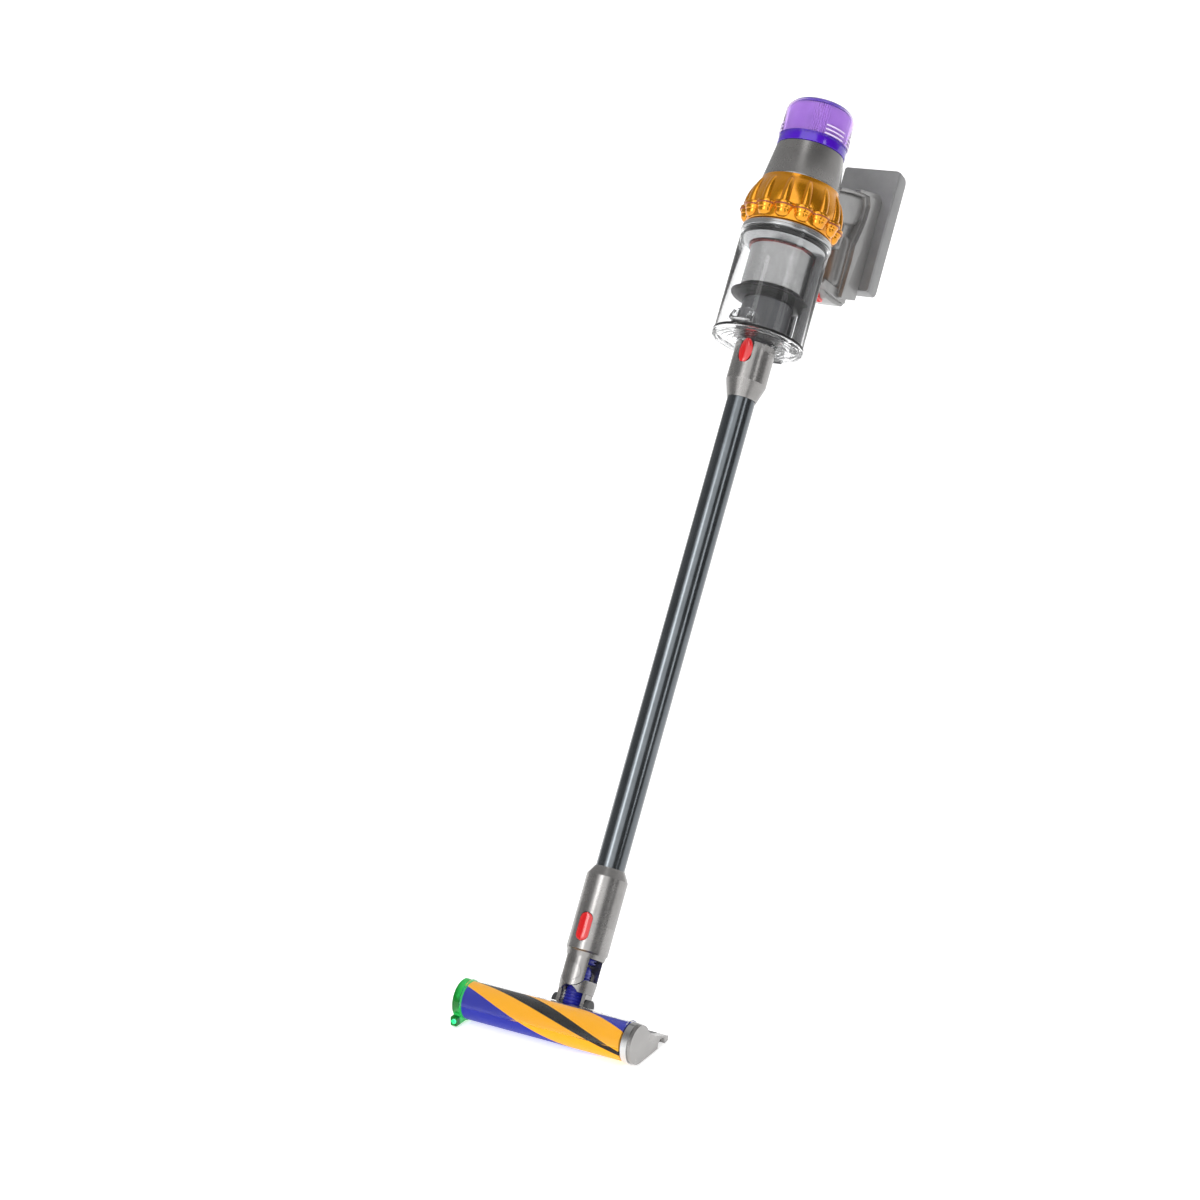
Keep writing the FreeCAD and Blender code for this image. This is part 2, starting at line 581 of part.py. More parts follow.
def bin_parts():
    wall = tube("bin_wall_tube", "Z", "0", "0", "dims.base_high + 0.6", "dims.bin_radius",
                "dims.bin_radius - dims.bin_wall", "dims.bin_top - dims.base_high - 0.6")
    hinge_up = "dims.base_high + dims.hinge_rise"
    ear = box("hinge_ear", "-dims.ear_half", "dims.hinge_back - 2.6", "dims.base_high + 1",
              ("2 * dims.ear_half", "8", "14"))
    ear_room = rod("hinge_ear_room", "Z", "0", "0", "dims.base_high - 5", "dims.bin_radius - 1", "40")
    pin_room = rod("hinge_bore", "X", "-20", "dims.hinge_back", hinge_up, "dims.hinge_bore", "40")
    knuckle_room = box("knuckle_room", "-(dims.knuckle_half + 0.3)", "dims.hinge_back - 6",
                       "dims.base_high - 1", ("2 * (dims.knuckle_half + 0.3)", "10.7", "8.2"))
    hinge = cut("bin_hinge_cut", ear, [ear_room, pin_room, knuckle_room])
    node(fuse("bin_fuse", [wall, hinge]), "clear_bin")
    node(rod("hinge_pin_rod", "X", "-13.5", "dims.hinge_back", hinge_up, "dims.hinge_pin_radius", "27"),
         "base_hinge_pin")

    body = new_body("base_flap_disc")
    revolve(body, "flap_disc", [
        ("20.6", "dims.base_low"), ("dims.base_radius - 1", "dims.base_low"),
        ("dims.base_radius", "dims.base_low + 1"), ("dims.base_radius", "dims.base_high"),
        ("dims.base_radius - 5.4", "dims.base_high"), ("dims.base_radius - 5.4", "dims.base_low + 3"),
        ("20.6", "dims.base_low + 3")])
    for number, radius in enumerate((30, 39, 48)):
        ring = plane_sketch(body, "rib_ring_%d" % number, "XY_Plane", "dims.base_low - 1")
        circle(ring, "0", "0", str(radius + 0.8))
        circle(ring, "0", "0", str(radius - 0.8))
        pad(body, "rib_%d" % number, ring, "2")
    knuckle = rod("knuckle", "X", "-dims.knuckle_half", "dims.hinge_back", hinge_up, "dims.knuckle_radius",
                  "2 * dims.knuckle_half")
    arm = box("knuckle_arm", "-dims.knuckle_half", "dims.hinge_back - 2.8", "dims.base_high - 3",
              ("2 * dims.knuckle_half", "9", "4.6"))
    bore = rod("knuckle_bore", "X", "-20", "dims.hinge_back", hinge_up, "dims.hinge_bore", "40")
    arm_room = rod("knuckle_arm_room", "Z", "0", "0", "dims.base_high + 0.05", "dims.bin_radius + 1", "10")
    joined = fuse("flap_fuse", [body, cut("arm_cut", fuse("arm_fuse", [knuckle, arm]), [arm_room])])
    node(cut("flap_cut", joined, [bore]), "base_flap")
    node(tube("base_seal_tube", "Z", "0", "0", "dims.base_high - 1.5", "dims.base_radius - 5.5",
              "dims.base_radius - 9", "2.4"), "base_seal")
    node(tube("nozzle_tube", "Z", "0", "0", "846", "20.5", "16.4", "dims.base_high - 846 + 0.5"),
         "inlet_nozzle")
    catch_bar = box("catch_bar", "-9", "dims.base_radius + 0.1", "dims.base_low", ("18", "4", "22"))
    catch_hook = box("catch_hook", "-9", "dims.base_radius - 3", "dims.base_low + 1", ("18", "4", "5"))
    catch_room = rod("catch_room", "Z", "0", "0", "dims.base_low - 1", "dims.base_radius + 0.02", "30")
    node(cut("catch_cut", fuse("catch_fuse", [catch_bar, catch_hook]), [catch_room]), "base_catch")


# ---------------------------------------------------------------------------------------------
# Wand, with a collar and a release button at each end
# ---------------------------------------------------------------------------------------------

def obround(name, half_width, front, depth, low, high):
    """A button plan in the XZ plane: a slot with round ends, standing out from the front."""
    middle = box(name + "_middle", "-(%s)" % half_width, front, "%s + %s" % (low, half_width),
                 ("2 * (%s)" % half_width, depth, "%s - (%s) - 2 * (%s)" % (high, low, half_width)))
    foot = rod(name + "_foot", "Y", "0", front, "%s + %s" % (low, half_width), half_width, depth)
    head = rod(name + "_head", "Y", "0", front, "%s - %s" % (high, half_width), half_width, depth)
    return fuse(name, [middle, foot, head])


def button(name, label, half_width, depth, low, high):
    """A release button whose face follows the round collar and stands a little proud of it."""
    stem = obround(name + "_plan", half_width, "dims.button_start", depth, low, high)
    face = rod(name + "_face", "Z", "0", "0", "(%s) - 2" % low, "dims.collar_radius + dims.button_stands", "60")
    node(common(name + "_common", [stem, face]), label)


def wand_parts():
    node(tube("wand_tube_wall", "Z", "0", "0", "dims.lower_cone_at - 20", "dims.tube_radius",
              "dims.tube_radius - dims.tube_wall", "dims.upper_cone_at - dims.lower_cone_at + 36"), "wand_tube")

    body = new_body("upper_collar")
    revolve(body, "upper_shell", [
        ("dims.tube_radius + 0.05", "dims.tube_high"), ("19.5", "dims.tube_high"),
        ("dims.collar_radius", "dims.upper_cone_at"), ("dims.collar_radius", "dims.collar_top"),
        ("21.2", "dims.collar_top"), ("21.2", "844"), ("dims.tube_radius + 0.05", "841")])
    room = obround("wand_button_room", "dims.wand_button_half + dims.button_gap", "dims.button_start",
                   "dims.wand_button_depth + dims.button_travel + 1.8", "838.4", "872.4")
    node(cut("upper_collar_cut", body, [room]), "upper_collar")
    button("wand_button", "wand_release_button", "dims.wand_button_half", "dims.wand_button_depth",
           "838.7", "870.6")

    body = new_body("lower_collar")
    revolve(body, "lower_shell", [
        ("17", "72"), ("19.8", "72"), ("19.8", "dims.split_at + 0.2"),
        ("dims.collar_radius", "dims.split_at + 0.2"), ("dims.collar_radius", "dims.lower_cone_at"),
        ("19.5", "dims.tube_low"), ("dims.tube_radius + 0.05", "dims.tube_low"),
        ("dims.tube_radius + 0.05", "dims.lower_cone_at - 20"), ("17", "dims.lower_cone_at - 20")])
    room = obround("head_button_room", "dims.head_button_half + dims.button_gap", "dims.button_start",
                   "dims.head_button_depth + dims.button_travel + 0.2", "75.6", "112")
    node(cut("lower_collar_cut", body, [room]), "lower_collar")
    button("head_button", "head_release_button", "dims.head_button_half", "dims.head_button_depth",
           "76", "111.6")


# ---------------------------------------------------------------------------------------------
# Neck: a sleeve that takes the wand, a roll hinge across it and a pitch hinge in the head
# ---------------------------------------------------------------------------------------------

def hose(name, low, high, extra):
    """A corrugated hose: a round core with a ridge every few millimetres."""
    pieces = [rod(name + "_core", "Z", "0", "0", str(low), "dims.hose_radius - 1.4", str(high - low))]
    rings = int((high - low) / 4.5)
    for index in range(rings):
        pieces.append(rod("%s_ring_%d" % (name, index), "Z", "0", "0", str(low + 1 + 4.5 * index),
                          "dims.hose_radius", "2.2"))
    return fuse(name, pieces + extra)


def neck_parts():
    roll = "dims.roll_pivot_at"
    body = new_body("neck_sleeve")
    revolve(body, "sleeve", [
        ("20", "dims.window_top"), ("dims.neck_radius", "dims.window_top"),
        ("dims.neck_radius + 0.6", "dims.sleeve_low"), ("dims.collar_radius", "dims.sleeve_low + 2"),
        ("dims.collar_radius", "dims.split_at"), ("20", "dims.split_at")])
    room = obround("sleeve_button_room", "dims.head_button_half + dims.button_gap", "dims.button_start",
                   "dims.head_button_depth + dims.button_travel + 3.5", "75.6", "125")
    sleeve = cut("sleeve_cut", body, [room])
    ears = []
    for name, start in (("front", "-30"), ("rear", "18.3")):
        arc = rod(name + "_ear_arc", "Y", "0", start, roll, "17", "11.7")
        stem = box(name + "_ear_stem", "-17", start, roll, ("34", "11.7", "dims.window_top - %s + 0.5" % roll))
        ears.append(fuse(name + "_ear", [arc, stem]))
    skin = rod("ear_skin", "Z", "0", "0", "10", "dims.neck_radius", "60")
    ear_pair = common("ear_pair", [fuse("ears_fuse", ears), skin])
    bore = rod("roll_bore", "Y", "0", "-40", roll, "dims.pin_radius", "80")
    front_seat = rod("front_disc_seat", "Y", "0", "-40", roll, "dims.disc_radius + 0.1", "18.8")
    rear_seat = rod("rear_disc_seat", "Y", "0", "21.2", roll, "dims.disc_radius + 0.1", "18.8")
    joined = fuse("neck_upper_fuse", [sleeve, ear_pair])
    node(cut("neck_upper_cut", joined, [bore, front_seat, rear_seat]), "neck_upper")

    for label, pin_start, disc_start in (("roll_pin_front", "-21.3", "-25.2"), ("roll_pin_rear", "14.2", "21.25")):
        disc = common(label + "_disc", [
            rod(label + "_disc_rod", "Y", "0", disc_start, roll, "dims.disc_radius", "3.95"),
            rod(label + "_disc_skin", "Z", "0", "0", "20", "dims.neck_radius + 0.5", "40")])
        pin = rod(label + "_pin", "Y", "0", pin_start, roll, "dims.pin_radius", "7.1")
        node(fuse(label + "_fuse", [disc, pin]), label)

    body = new_body("neck_lower_tube")
    revolve(body, "lower_tube", [
        ("15", "15"), ("22.2", "15"), ("23.4", "31"), ("19.2", "31"), ("17.8", "22"), ("15", "20")])
    swing_room = rod("swing_room", "Y", "0", "-40", roll, "17.6", "80")
    arch = rod("arch_room", "Y", "0", "-40", "8", "13.5", "28")
    shell = cut("lower_shell_cut", body, [swing_room, arch])
    lugs = []
    for name, start in (("front", "-17.9"), ("rear", "14.9")):
        disc = rod(name + "_lug_disc", "Y", "0", start, roll, "8", "3")
        stem_low = "18" if name == "rear" else "22"
        stem = box(name + "_lug_stem", "-8", start, stem_low, ("16", "3", "%s - %s" % (roll, stem_low)))
        lugs.append(fuse(name + "_lug", [disc, stem]))
    cheeks = []
    for name, start in (("right", "14.9"), ("left", "-19.6")):
        cheek_disc = rod(name + "_cheek_disc", "X", start, "0", "0", "9.5", "4.7")
        cheek_stem = box(name + "_cheek_stem", start, "-9", "0", ("4.7", "18", "16"))
        cheeks.append(fuse(name + "_cheek", [cheek_disc, cheek_stem]))
    pitch_bore = rod("pitch_bore", "X", "-40", "0", "0", "dims.pin_bore", "80")
    roll_lug_bore = rod("roll_lug_bore", "Y", "0", "-40", roll, "dims.pin_bore", "80")
    joined = fuse("neck_lower_fuse", [shell] + lugs + cheeks)
    node(cut("neck_lower_cut", joined, [pitch_bore, roll_lug_bore]), "neck_lower")

    node(hose("hose_low", 6, 31, [ball("hose_foot", "0", "0", "0", "dims.hose_radius"),
                                  ball("hose_knee", "0", "0", roll, "dims.hose_radius")]), "neck_hose_lower")
    node(hose("hose_high", 51.5, 70, []), "neck_hose_upper")


# ---------------------------------------------------------------------------------------------
# Floor head, level on the floor
# ---------------------------------------------------------------------------------------------

def head_profile(grow):
    """The side outline of an end cap behind the roller, grown outwards by a little."""
    return [("dims.roller_back", "2.6"), ("16", "2.6"), ("%s + 17" % grow, "4.5"), ("%s + 17" % grow, "9.5"),
            ("-14", "22 + %s" % grow), ("-24", "29 + %s" % grow), ("-31.5", "36.5"),
            ("dims.roller_back", "dims.roller_axis_up")]


def end_cap(name, start, thickness, radius):
    """A heart-shaped end: a disc round the roller axis and a tail that runs back along the floor."""
    tail = slab(name + "_tail", "YZ_Plane", start, head_profile("0"), thickness)
    disc = rod(name + "_disc", "X", start, "dims.roller_back", "dims.roller_axis_up", radius, thickness)
    return fuse(name, [tail, disc])


def head_parts():
    roller = ("dims.roller_back", "dims.roller_axis_up")
    body = slab("chassis", "YZ_Plane", "-112", [
        ("-27.5", "dims.chassis_low"), ("17", "dims.chassis_low"), ("17", "9.5"), ("-12", "20"),
        ("-24", "28"), ("-26.2", "dims.chassis_high"), ("-31.2", "36.8"), ("-27.5", "20")], "222")
    neck_room = box("neck_room", "-26.6", "-25.8", "12", ("53.2", "60", "40"))
    rear_room = box("rear_room", "-26.6", "5", "-5", ("53.2", "40", "60"))
    roller_room = rod("chassis_roller_room", "X", "-140", roller[0], roller[1], "dims.cover_radius + 0.1", "280")
    wheel_rooms = []
    for side, x in (("left", "-74"), ("right", "66")):
        wheel_rooms.append(box("wheel_room_" + side, x, "-3", "-5", ("8.4", "30", "30")))
    duct_room = rod("duct_room", "Y", "0", "-40", "16", "7", "30")
    shell = cut("chassis_shell", body, [neck_room, rear_room, roller_room] + wheel_rooms + [duct_room])
    cheeks = []
    for name, start in (("right", "20"), ("left", "-25.5")):
        disc = rod("yoke_disc_" + name, "X", start, "0", "dims.pivot_height", "9.5", "5.5")
        stem = box("yoke_stem_" + name, start, "-9.5", "10", ("5.5", "14.4", "dims.pivot_height - 10"))
        cheeks.append(fuse("yoke_" + name, [disc, stem]))
    studs = [rod("pitch_stud_" + name, "X", start, "0", "dims.pivot_height", "dims.pin_radius", "10")
             for name, start in (("right", "15.2"), ("left", "-25.2"))]
    brackets = [box("bracket_" + side, x, "-26", "26", ("12", "10", "10.5"))
                for side, x in (("left", "-39"), ("right", "27"))]
    axles = [rod("axle_" + side, "X", "%s - 0.5" % x, "7", "8", "1.5", "9.4")
             for side, x in (("left", "-74"), ("right", "66"))]
    frame = cut("bracket_cut", fuse("frame_fuse", [shell] + cheeks + brackets), [
        rod("bracket_roller_room", "X", "-140", roller[0], roller[1], "dims.cover_radius + 0.1", "280")])
    node(fuse("chassis_fuse", [frame] + studs + axles), "head_chassis", LEVEL)

    cover = tube("cover_wall", "X", "dims.roller_left - 0.5", roller[0], roller[1], "dims.cover_radius",
                 "dims.cover_radius - dims.cover_wall", "dims.roller_right - dims.roller_left - 0.5")
    low_room = box("cover_low_room", "-200", "-100", "-20", ("400", "200", "dims.roller_axis_up + 23"))
    rear_open = box("cover_rear_room", "-200", "-32", "-20", ("400", "60", "80"))
    node(cut("cover_cut", cover, [low_room, rear_open]), "roller_cover", LEVEL)

    node(tube("sleeve_tube", "X", "dims.roller_left + 1", roller[0], roller[1], "dims.roller_radius",
              "dims.roller_radius - 6", "dims.roller_right - dims.roller_left - 3"), "roller_sleeve", LEVEL)
    node(tube("core_tube", "X", "dims.roller_left + 0.6", roller[0], roller[1], "dims.roller_radius - 6.05",
              "dims.roller_radius - 8.5", "dims.roller_right - dims.roller_left - 2"), "roller_core", LEVEL)
    node(rod("drive_rod", "X", "dims.roller_left", roller[0], roller[1], "dims.roller_radius - 10",
             "96"), "roller_motor", LEVEL)

    right = end_cap("right_cap_solid", "dims.roller_right + 1.2",
                    "dims.head_half - dims.roller_right - 1.2", "24")
    hole = rod("cap_hole", "X", "dims.head_half - 7", "0", "4", "8.5", "20")
    bearing = rod("end_bearing_rod", "X", "dims.roller_right - 9", roller[0], roller[1],
                  "dims.roller_radius - 8.58", "12")
    node(cut("right_cap_cut", fuse("right_cap_fuse", [right, bearing]), [hole]), "right_end_cap", LEVEL)
    ring = tube("cap_ring_tube", "X", "dims.roller_right + 1.3", roller[0], roller[1], "25.6", "24.05", "8")
    ring_room = slab("ring_tail_room", "YZ_Plane", "90", head_profile("0.05"), "60")
    floor_room = box("ring_floor_room", "90", "-90", "-10", ("60", "80", "13.2"))
    node(cut("cap_ring_cut", ring, [ring_room, floor_room]), "end_cap_ring", LEVEL)

    left = end_cap("left_cap_solid", "-dims.head_half", "dims.head_half + dims.roller_left - 1", "25.4")
    nose = rounded_prism("laser_nose", "5", "-84", "-60", "3", "15", "2.5", "1.5")
    nose_place = doc.addObject("Part::Compound", "laser_nose_place")
    nose_place.Links = [nose]
    bind(nose_place, Placement__Base__x="5 - dims.head_half")
    socket = box("laser_socket", "1 - dims.head_half", "-90", "4.3", ("8", "14", "9.4"))
    node(cut("left_cap_cut", fuse("left_cap_fuse", [left, nose_place]), [socket]), "left_end_cap", LEVEL)
    case = box("laser_case", "1.2 - dims.head_half", "-82", "4.5", ("7.6", "5.9", "9"))
    node(case, "laser_module", LEVEL)
    node(rod("laser_glass", "Y", "5 - dims.head_half", "-83.2", "9", "3", "1.15"), "laser_lens", LEVEL)

    node(box("glide_block", "-45", "-15", "0", ("90", "19.9", "dims.chassis_low - 0.02")), "glide_pad", LEVEL)
    for side, x in (("left", "-74"), ("right", "66")):
        wheel = tube("wheel_" + side, "X", "%s + 0.7" % x, "7", "8", "dims.wheel_radius", "1.55",
                     "dims.wheel_width")
        node(wheel, "rear_wheel_" + side, LEVEL)


motor_parts()
filter_parts()
cyclone_parts()
rail_parts()
handle_parts()
battery_parts()
bin_parts()
wand_parts()
neck_parts()
head_parts()
doc.recompute()

failed = [thing.Name for thing in doc.Objects if "Invalid" in thing.State or "Error" in thing.State]
for thing in NODES:
    if thing.Shape.isNull() or not thing.Shape.isValid():
        failed.append(thing.Label)
if failed:
    raise ValueError("these objects failed: " + ", ".join(failed))

os.makedirs("parts", exist_ok=True)
for thing in NODES:
    thing.Shape.exportStep("parts/%s.step" % thing.Label)
    solids = len(thing.Shape.Solids)
    print("%-24s %8.1f mm3  solids %d" % (thing.Label, thing.Shape.Volume, solids))
print("nodes:", len(NODES))
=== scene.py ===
# %% [markdown]
# # A cordless stick vacuum cleaner
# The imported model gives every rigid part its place. This notebook adds the looks: turned shells with
# soft edges, clear plastic, woven pile, and the finish of each surface. The frame is loaded first,
# because every later step measures it instead of guessing.

# %% Load the frame
import json
import math
import bmesh
import bpy
from mathutils import Matrix, Vector


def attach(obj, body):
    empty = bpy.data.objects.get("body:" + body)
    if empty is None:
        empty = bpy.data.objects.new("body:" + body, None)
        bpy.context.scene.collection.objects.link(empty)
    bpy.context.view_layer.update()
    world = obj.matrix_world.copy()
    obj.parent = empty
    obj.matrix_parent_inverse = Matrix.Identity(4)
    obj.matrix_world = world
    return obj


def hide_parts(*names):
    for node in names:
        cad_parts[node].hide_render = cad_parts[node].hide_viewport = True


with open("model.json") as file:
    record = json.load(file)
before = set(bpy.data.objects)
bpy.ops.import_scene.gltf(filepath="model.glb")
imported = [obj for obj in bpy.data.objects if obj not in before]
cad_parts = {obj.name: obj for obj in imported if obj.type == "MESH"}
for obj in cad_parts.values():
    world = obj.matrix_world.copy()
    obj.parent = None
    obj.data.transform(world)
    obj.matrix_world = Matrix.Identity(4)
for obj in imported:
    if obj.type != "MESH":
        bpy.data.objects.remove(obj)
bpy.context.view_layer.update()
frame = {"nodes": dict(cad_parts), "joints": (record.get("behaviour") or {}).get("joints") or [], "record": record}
NODES = frame["nodes"]
JOINTS = {joint["name"]: joint for joint in frame["joints"]}
MM = 0.001

# %% [markdown]
# The wand leans back, and almost everything is turned or moulded round its axis. It is easier to
# build those pieces upright and then lean them, so one matrix is kept for that: its third column runs
# up the wand and its second points to the back. Pieces are drawn in millimetres and shrunk to metres
# at the end, because a person can picture a 2 mm wall better than a 0.002 m one.

# %% The wand's own frame, worked out from three joints
up_wand = -Vector(JOINTS["wand_release"]["axis"]).normalized()
to_back = Vector(JOINTS["neck_roll"]["axis"]).normalized()
pitch_pivot = Vector(JOINTS["neck_pitch"]["pos_m"])
WAND = Matrix.Identity(4)
for row in range(3):
    WAND[row][0] = (1.0, 0.0, 0.0)[row]
    WAND[row][1] = to_back[row]
    WAND[row][2] = up_wand[row]
    WAND[row][3] = pitch_pivot[row]
TO_WAND = WAND.inverted()
LEAN = math.atan2(up_wand.y, up_wand.z)
print("lean:", round(math.degrees(LEAN), 2), "degrees")


# %% Measuring a node
def span(node):
    """Lowest and highest corner of a CAD node, in millimetres, in the wand's frame."""
    points = [TO_WAND @ vertex.co for vertex in NODES[node].data.vertices]
    low = Vector([min(point[axis] for point in points) for axis in range(3)])
    high = Vector([max(point[axis] for point in points) for axis in range(3)])
    return low / MM, high / MM


def joint_place(name):
    """Where a hinge's axis stands, in millimetres, in the wand's frame."""
    return (TO_WAND @ Vector(JOINTS[name]["pos_m"])) / MM


for name in ("wand_tube", "clear_bin", "filter_shell"):
    low, high = span(name)
    print(name, "runs from", round(low.z), "to", round(high.z), "mm and is", round(high.x - low.x), "wide")

# %% [markdown]
# ## Effects that many finishes share
# Real plastic and metal are never one flat colour. A few effects are wanted again and again: a fine
# moulding grain with a slow drift in shine, small hairline scratches, and paler worn edges. Each is a
# node group, made once, that puts out only numbers. The shaders themselves stay in the materials.


# %% A helper that starts a node group
def start_group(name, inputs, outputs):
    group = bpy.data.node_groups.new(name, "ShaderNodeTree")
    for label, kind, value in inputs:
        socket = group.interface.new_socket(name=label, in_out="INPUT", socket_type=kind)
        socket.default_value = value
    for label, kind in outputs:
        group.interface.new_socket(name=label, in_out="OUTPUT", socket_type=kind)
    return group, group.nodes.new("NodeGroupInput"), group.nodes.new("NodeGroupOutput")


def add_node(tree, kind, **settings):
    """A node with some of its properties set, and its inputs set by name where the key starts in_."""
    item = tree.nodes.new(kind)
    for key, value in settings.items():
        if key.startswith("in_"):
            item.inputs[key[3:].replace("_", " ")].default_value = value
        else:
            setattr(item, key, value)
    return item


def calculate(tree, operation, *values):
    """A Math node fed with sockets or plain numbers; gives back its output."""
    item = add_node(tree, "ShaderNodeMath", operation=operation)
    for slot_index, value in enumerate(values):
        if isinstance(value, bpy.types.NodeSocket):
            tree.links.new(value, item.inputs[slot_index])
        else:
            item.inputs[slot_index].default_value = value
    return item.outputs[0]


# %% Moulding grain: a fine mottled height and a slow drift in shine
def make_grain():
    group, source, result = start_group(
        "moulding_grain",
        [("Vector", "NodeSocketVector", (0, 0, 0)), ("Grain Scale", "NodeSocketFloat", 900.0),
         ("Shine", "NodeSocketFloat", 0.4), ("Drift", "NodeSocketFloat", 0.08)],
        [("Height", "NodeSocketFloat"), ("Roughness", "NodeSocketFloat"), ("Cloud", "NodeSocketFloat")])
    fine = add_node(group, "ShaderNodeTexNoise", in_Detail=3.0, in_Roughness=0.6)
    slow = add_node(group, "ShaderNodeTexNoise", in_Scale=26.0, in_Detail=4.0, in_Roughness=0.65)
    group.links.new(source.outputs["Vector"], fine.inputs["Vector"])
    group.links.new(source.outputs["Grain Scale"], fine.inputs["Scale"])
    group.links.new(source.outputs["Vector"], slow.inputs["Vector"])
    centred = calculate(group, "SUBTRACT", slow.outputs["Fac"], 0.5)
    spread = calculate(group, "MULTIPLY_ADD", centred, source.outputs["Drift"], source.outputs["Shine"])
    group.links.new(fine.outputs["Fac"], result.inputs["Height"])
    group.links.new(spread, result.inputs["Roughness"])
    group.links.new(slow.outputs["Fac"], result.inputs["Cloud"])
    return group


GRAIN = make_grain()
print("made group:", GRAIN.name)


# %% Hairline scratches: noise stretched along one way, cut so that only its peaks are left
def make_hairlines():
    group, source, result = start_group(
        "hairlines",
        [("Vector", "NodeSocketVector", (0, 0, 0)), ("Spacing", "NodeSocketVector", (900, 900, 9))],
        [("Height", "NodeSocketFloat"), ("Mask", "NodeSocketFloat")])
    scaled = add_node(group, "ShaderNodeVectorMath", operation="MULTIPLY")
    group.links.new(source.outputs["Vector"], scaled.inputs[0])
    group.links.new(source.outputs["Spacing"], scaled.inputs[1])
    lines = add_node(group, "ShaderNodeTexNoise", in_Scale=1.0, in_Detail=2.0)
    group.links.new(scaled.outputs["Vector"], lines.inputs["Vector"])
    peaks = add_node(group, "ShaderNodeMapRange", interpolation_type="SMOOTHSTEP")
    peaks.inputs["From Min"].default_value = 0.62
    peaks.inputs["From Max"].default_value = 0.74
    group.links.new(lines.outputs["Fac"], peaks.inputs["Value"])
    group.links.new(lines.outputs["Fac"], result.inputs["Height"])
    group.links.new(peaks.outputs["Result"], result.inputs["Mask"])
    return group


HAIRLINES = make_hairlines()
print("made group:", HAIRLINES.name)


# %% Worn edges: convex edges, broken up by a cloud, where hands and doorways rub the finish paler
def make_edge_wear():
    group, source, result = start_group(
        "edge_wear", [("Cloud", "NodeSocketFloat", 0.5), ("Amount", "NodeSocketFloat", 0.5)],
        [("Mask", "NodeSocketFloat")])
    shape = group.nodes.new("ShaderNodeNewGeometry")
    sharp = add_node(group, "ShaderNodeMapRange", interpolation_type="SMOOTHSTEP")
    sharp.inputs["From Min"].default_value = 0.53
    sharp.inputs["From Max"].default_value = 0.60
    group.links.new(shape.outputs["Pointiness"], sharp.inputs["Value"])
    broken = calculate(group, "MULTIPLY", sharp.outputs["Result"], source.outputs["Cloud"])
    group.links.new(calculate(group, "MULTIPLY", broken, source.outputs["Amount"]), result.inputs["Mask"])
    return group


EDGE_WEAR = make_edge_wear()
print("made group:", EDGE_WEAR.name)

# %% [markdown]
# ## Starting a material
# Every material starts the same way: a Principled shader, and the object's coordinates turned into
# the wand's frame so that brushing and perforations run along it. The pieces all sit at the origin,
# so their object coordinates are metres in one shared space, and no pattern slides from piece to
# piece.


# %% Helpers that start a material and give it grain
def start_material(name, level=False):
    material = bpy.data.materials.new(name)
    material.use_nodes = True
    tree = material.node_tree
    shader = tree.nodes["Principled BSDF"]
    place = tree.nodes.new("ShaderNodeTexCoord")
    if level:
        return material, tree, shader, place.outputs["Object"]
    turn = add_node(tree, "ShaderNodeMapping", vector_type="POINT")
    turn.inputs["Rotation"].default_value = (LEAN, 0.0, 0.0)
    move = Matrix.Rotation(LEAN, 3, "X") @ pitch_pivot
    turn.inputs["Location"].default_value = (-move.x, -move.y, -move.z)
    tree.links.new(place.outputs["Object"], turn.inputs["Vector"])
    return material, tree, shader, turn.outputs["Vector"]


def place_group(tree, group, vector=None, **values):
    """One use of a shared group, with its own values."""
    item = tree.nodes.new("ShaderNodeGroup")
    item.node_tree = group
    for key, value in values.items():
        item.inputs[key.replace("_", " ")].default_value = value
    if vector is not None:
        tree.links.new(vector, item.inputs["Vector"])
    return item


def add_relief(tree, shader, height, strength, distance=0.0004, under=None):
    """A Bump node that feeds the shader's normal; one bump can lie under another."""
    relief = add_node(tree, "ShaderNodeBump", in_Strength=strength, in_Distance=distance)
    tree.links.new(height, relief.inputs["Height"])
    if under is not None:
        tree.links.new(under, relief.inputs["Normal"])
    tree.links.new(relief.outputs["Normal"], shader.inputs["Normal"])
    return relief.outputs["Normal"]


def use_grain(tree, shader, vector, shine, drift=0.08, scale=900.0, bump=0.04):
    """Grain for the roughness and a fine bump; returns the slow cloud and the normal."""
    grain = place_group(tree, GRAIN, vector, Shine=shine, Drift=drift, Grain_Scale=scale)
    tree.links.new(grain.outputs["Roughness"], shader.inputs["Roughness"])
    normal = add_relief(tree, shader, grain.outputs["Height"], bump)
    return grain.outputs["Cloud"], normal


def mix_colours(tree, factor, first, second, low=0.3, high=0.7):
    """A colour ramp between two colours, driven by one value."""
    ramp = tree.nodes.new("ShaderNodeValToRGB")
    for element, position, colour in zip(ramp.color_ramp.elements, (low, high), (first, second)):
        element.position = position
        element.color = (*colour, 1.0)
    tree.links.new(factor, ramp.inputs["Fac"])
    return ramp.outputs["Color"]


def lay_over(tree, mask, under, colour):
    """Lay one plain colour over another where a mask is bright."""
    blend = add_node(tree, "ShaderNodeMix", data_type="RGBA")
    tree.links.new(mask, blend.inputs[0])
    tree.links.new(under, blend.inputs[6])
    blend.inputs[7].default_value = (*colour, 1.0)
    return blend.outputs[2]


# %% [markdown]
# ## Moulded plastic and satin metal paint
# Most shells on the machine are moulded plastic under a satin metallic paint. One function makes them
# all: two near colours mixed by a slow cloud, a fine bump, worn edges, and hairlines where the finish
# is hard enough to scratch. A thin clear coat gives the paint its second, sharper highlight.


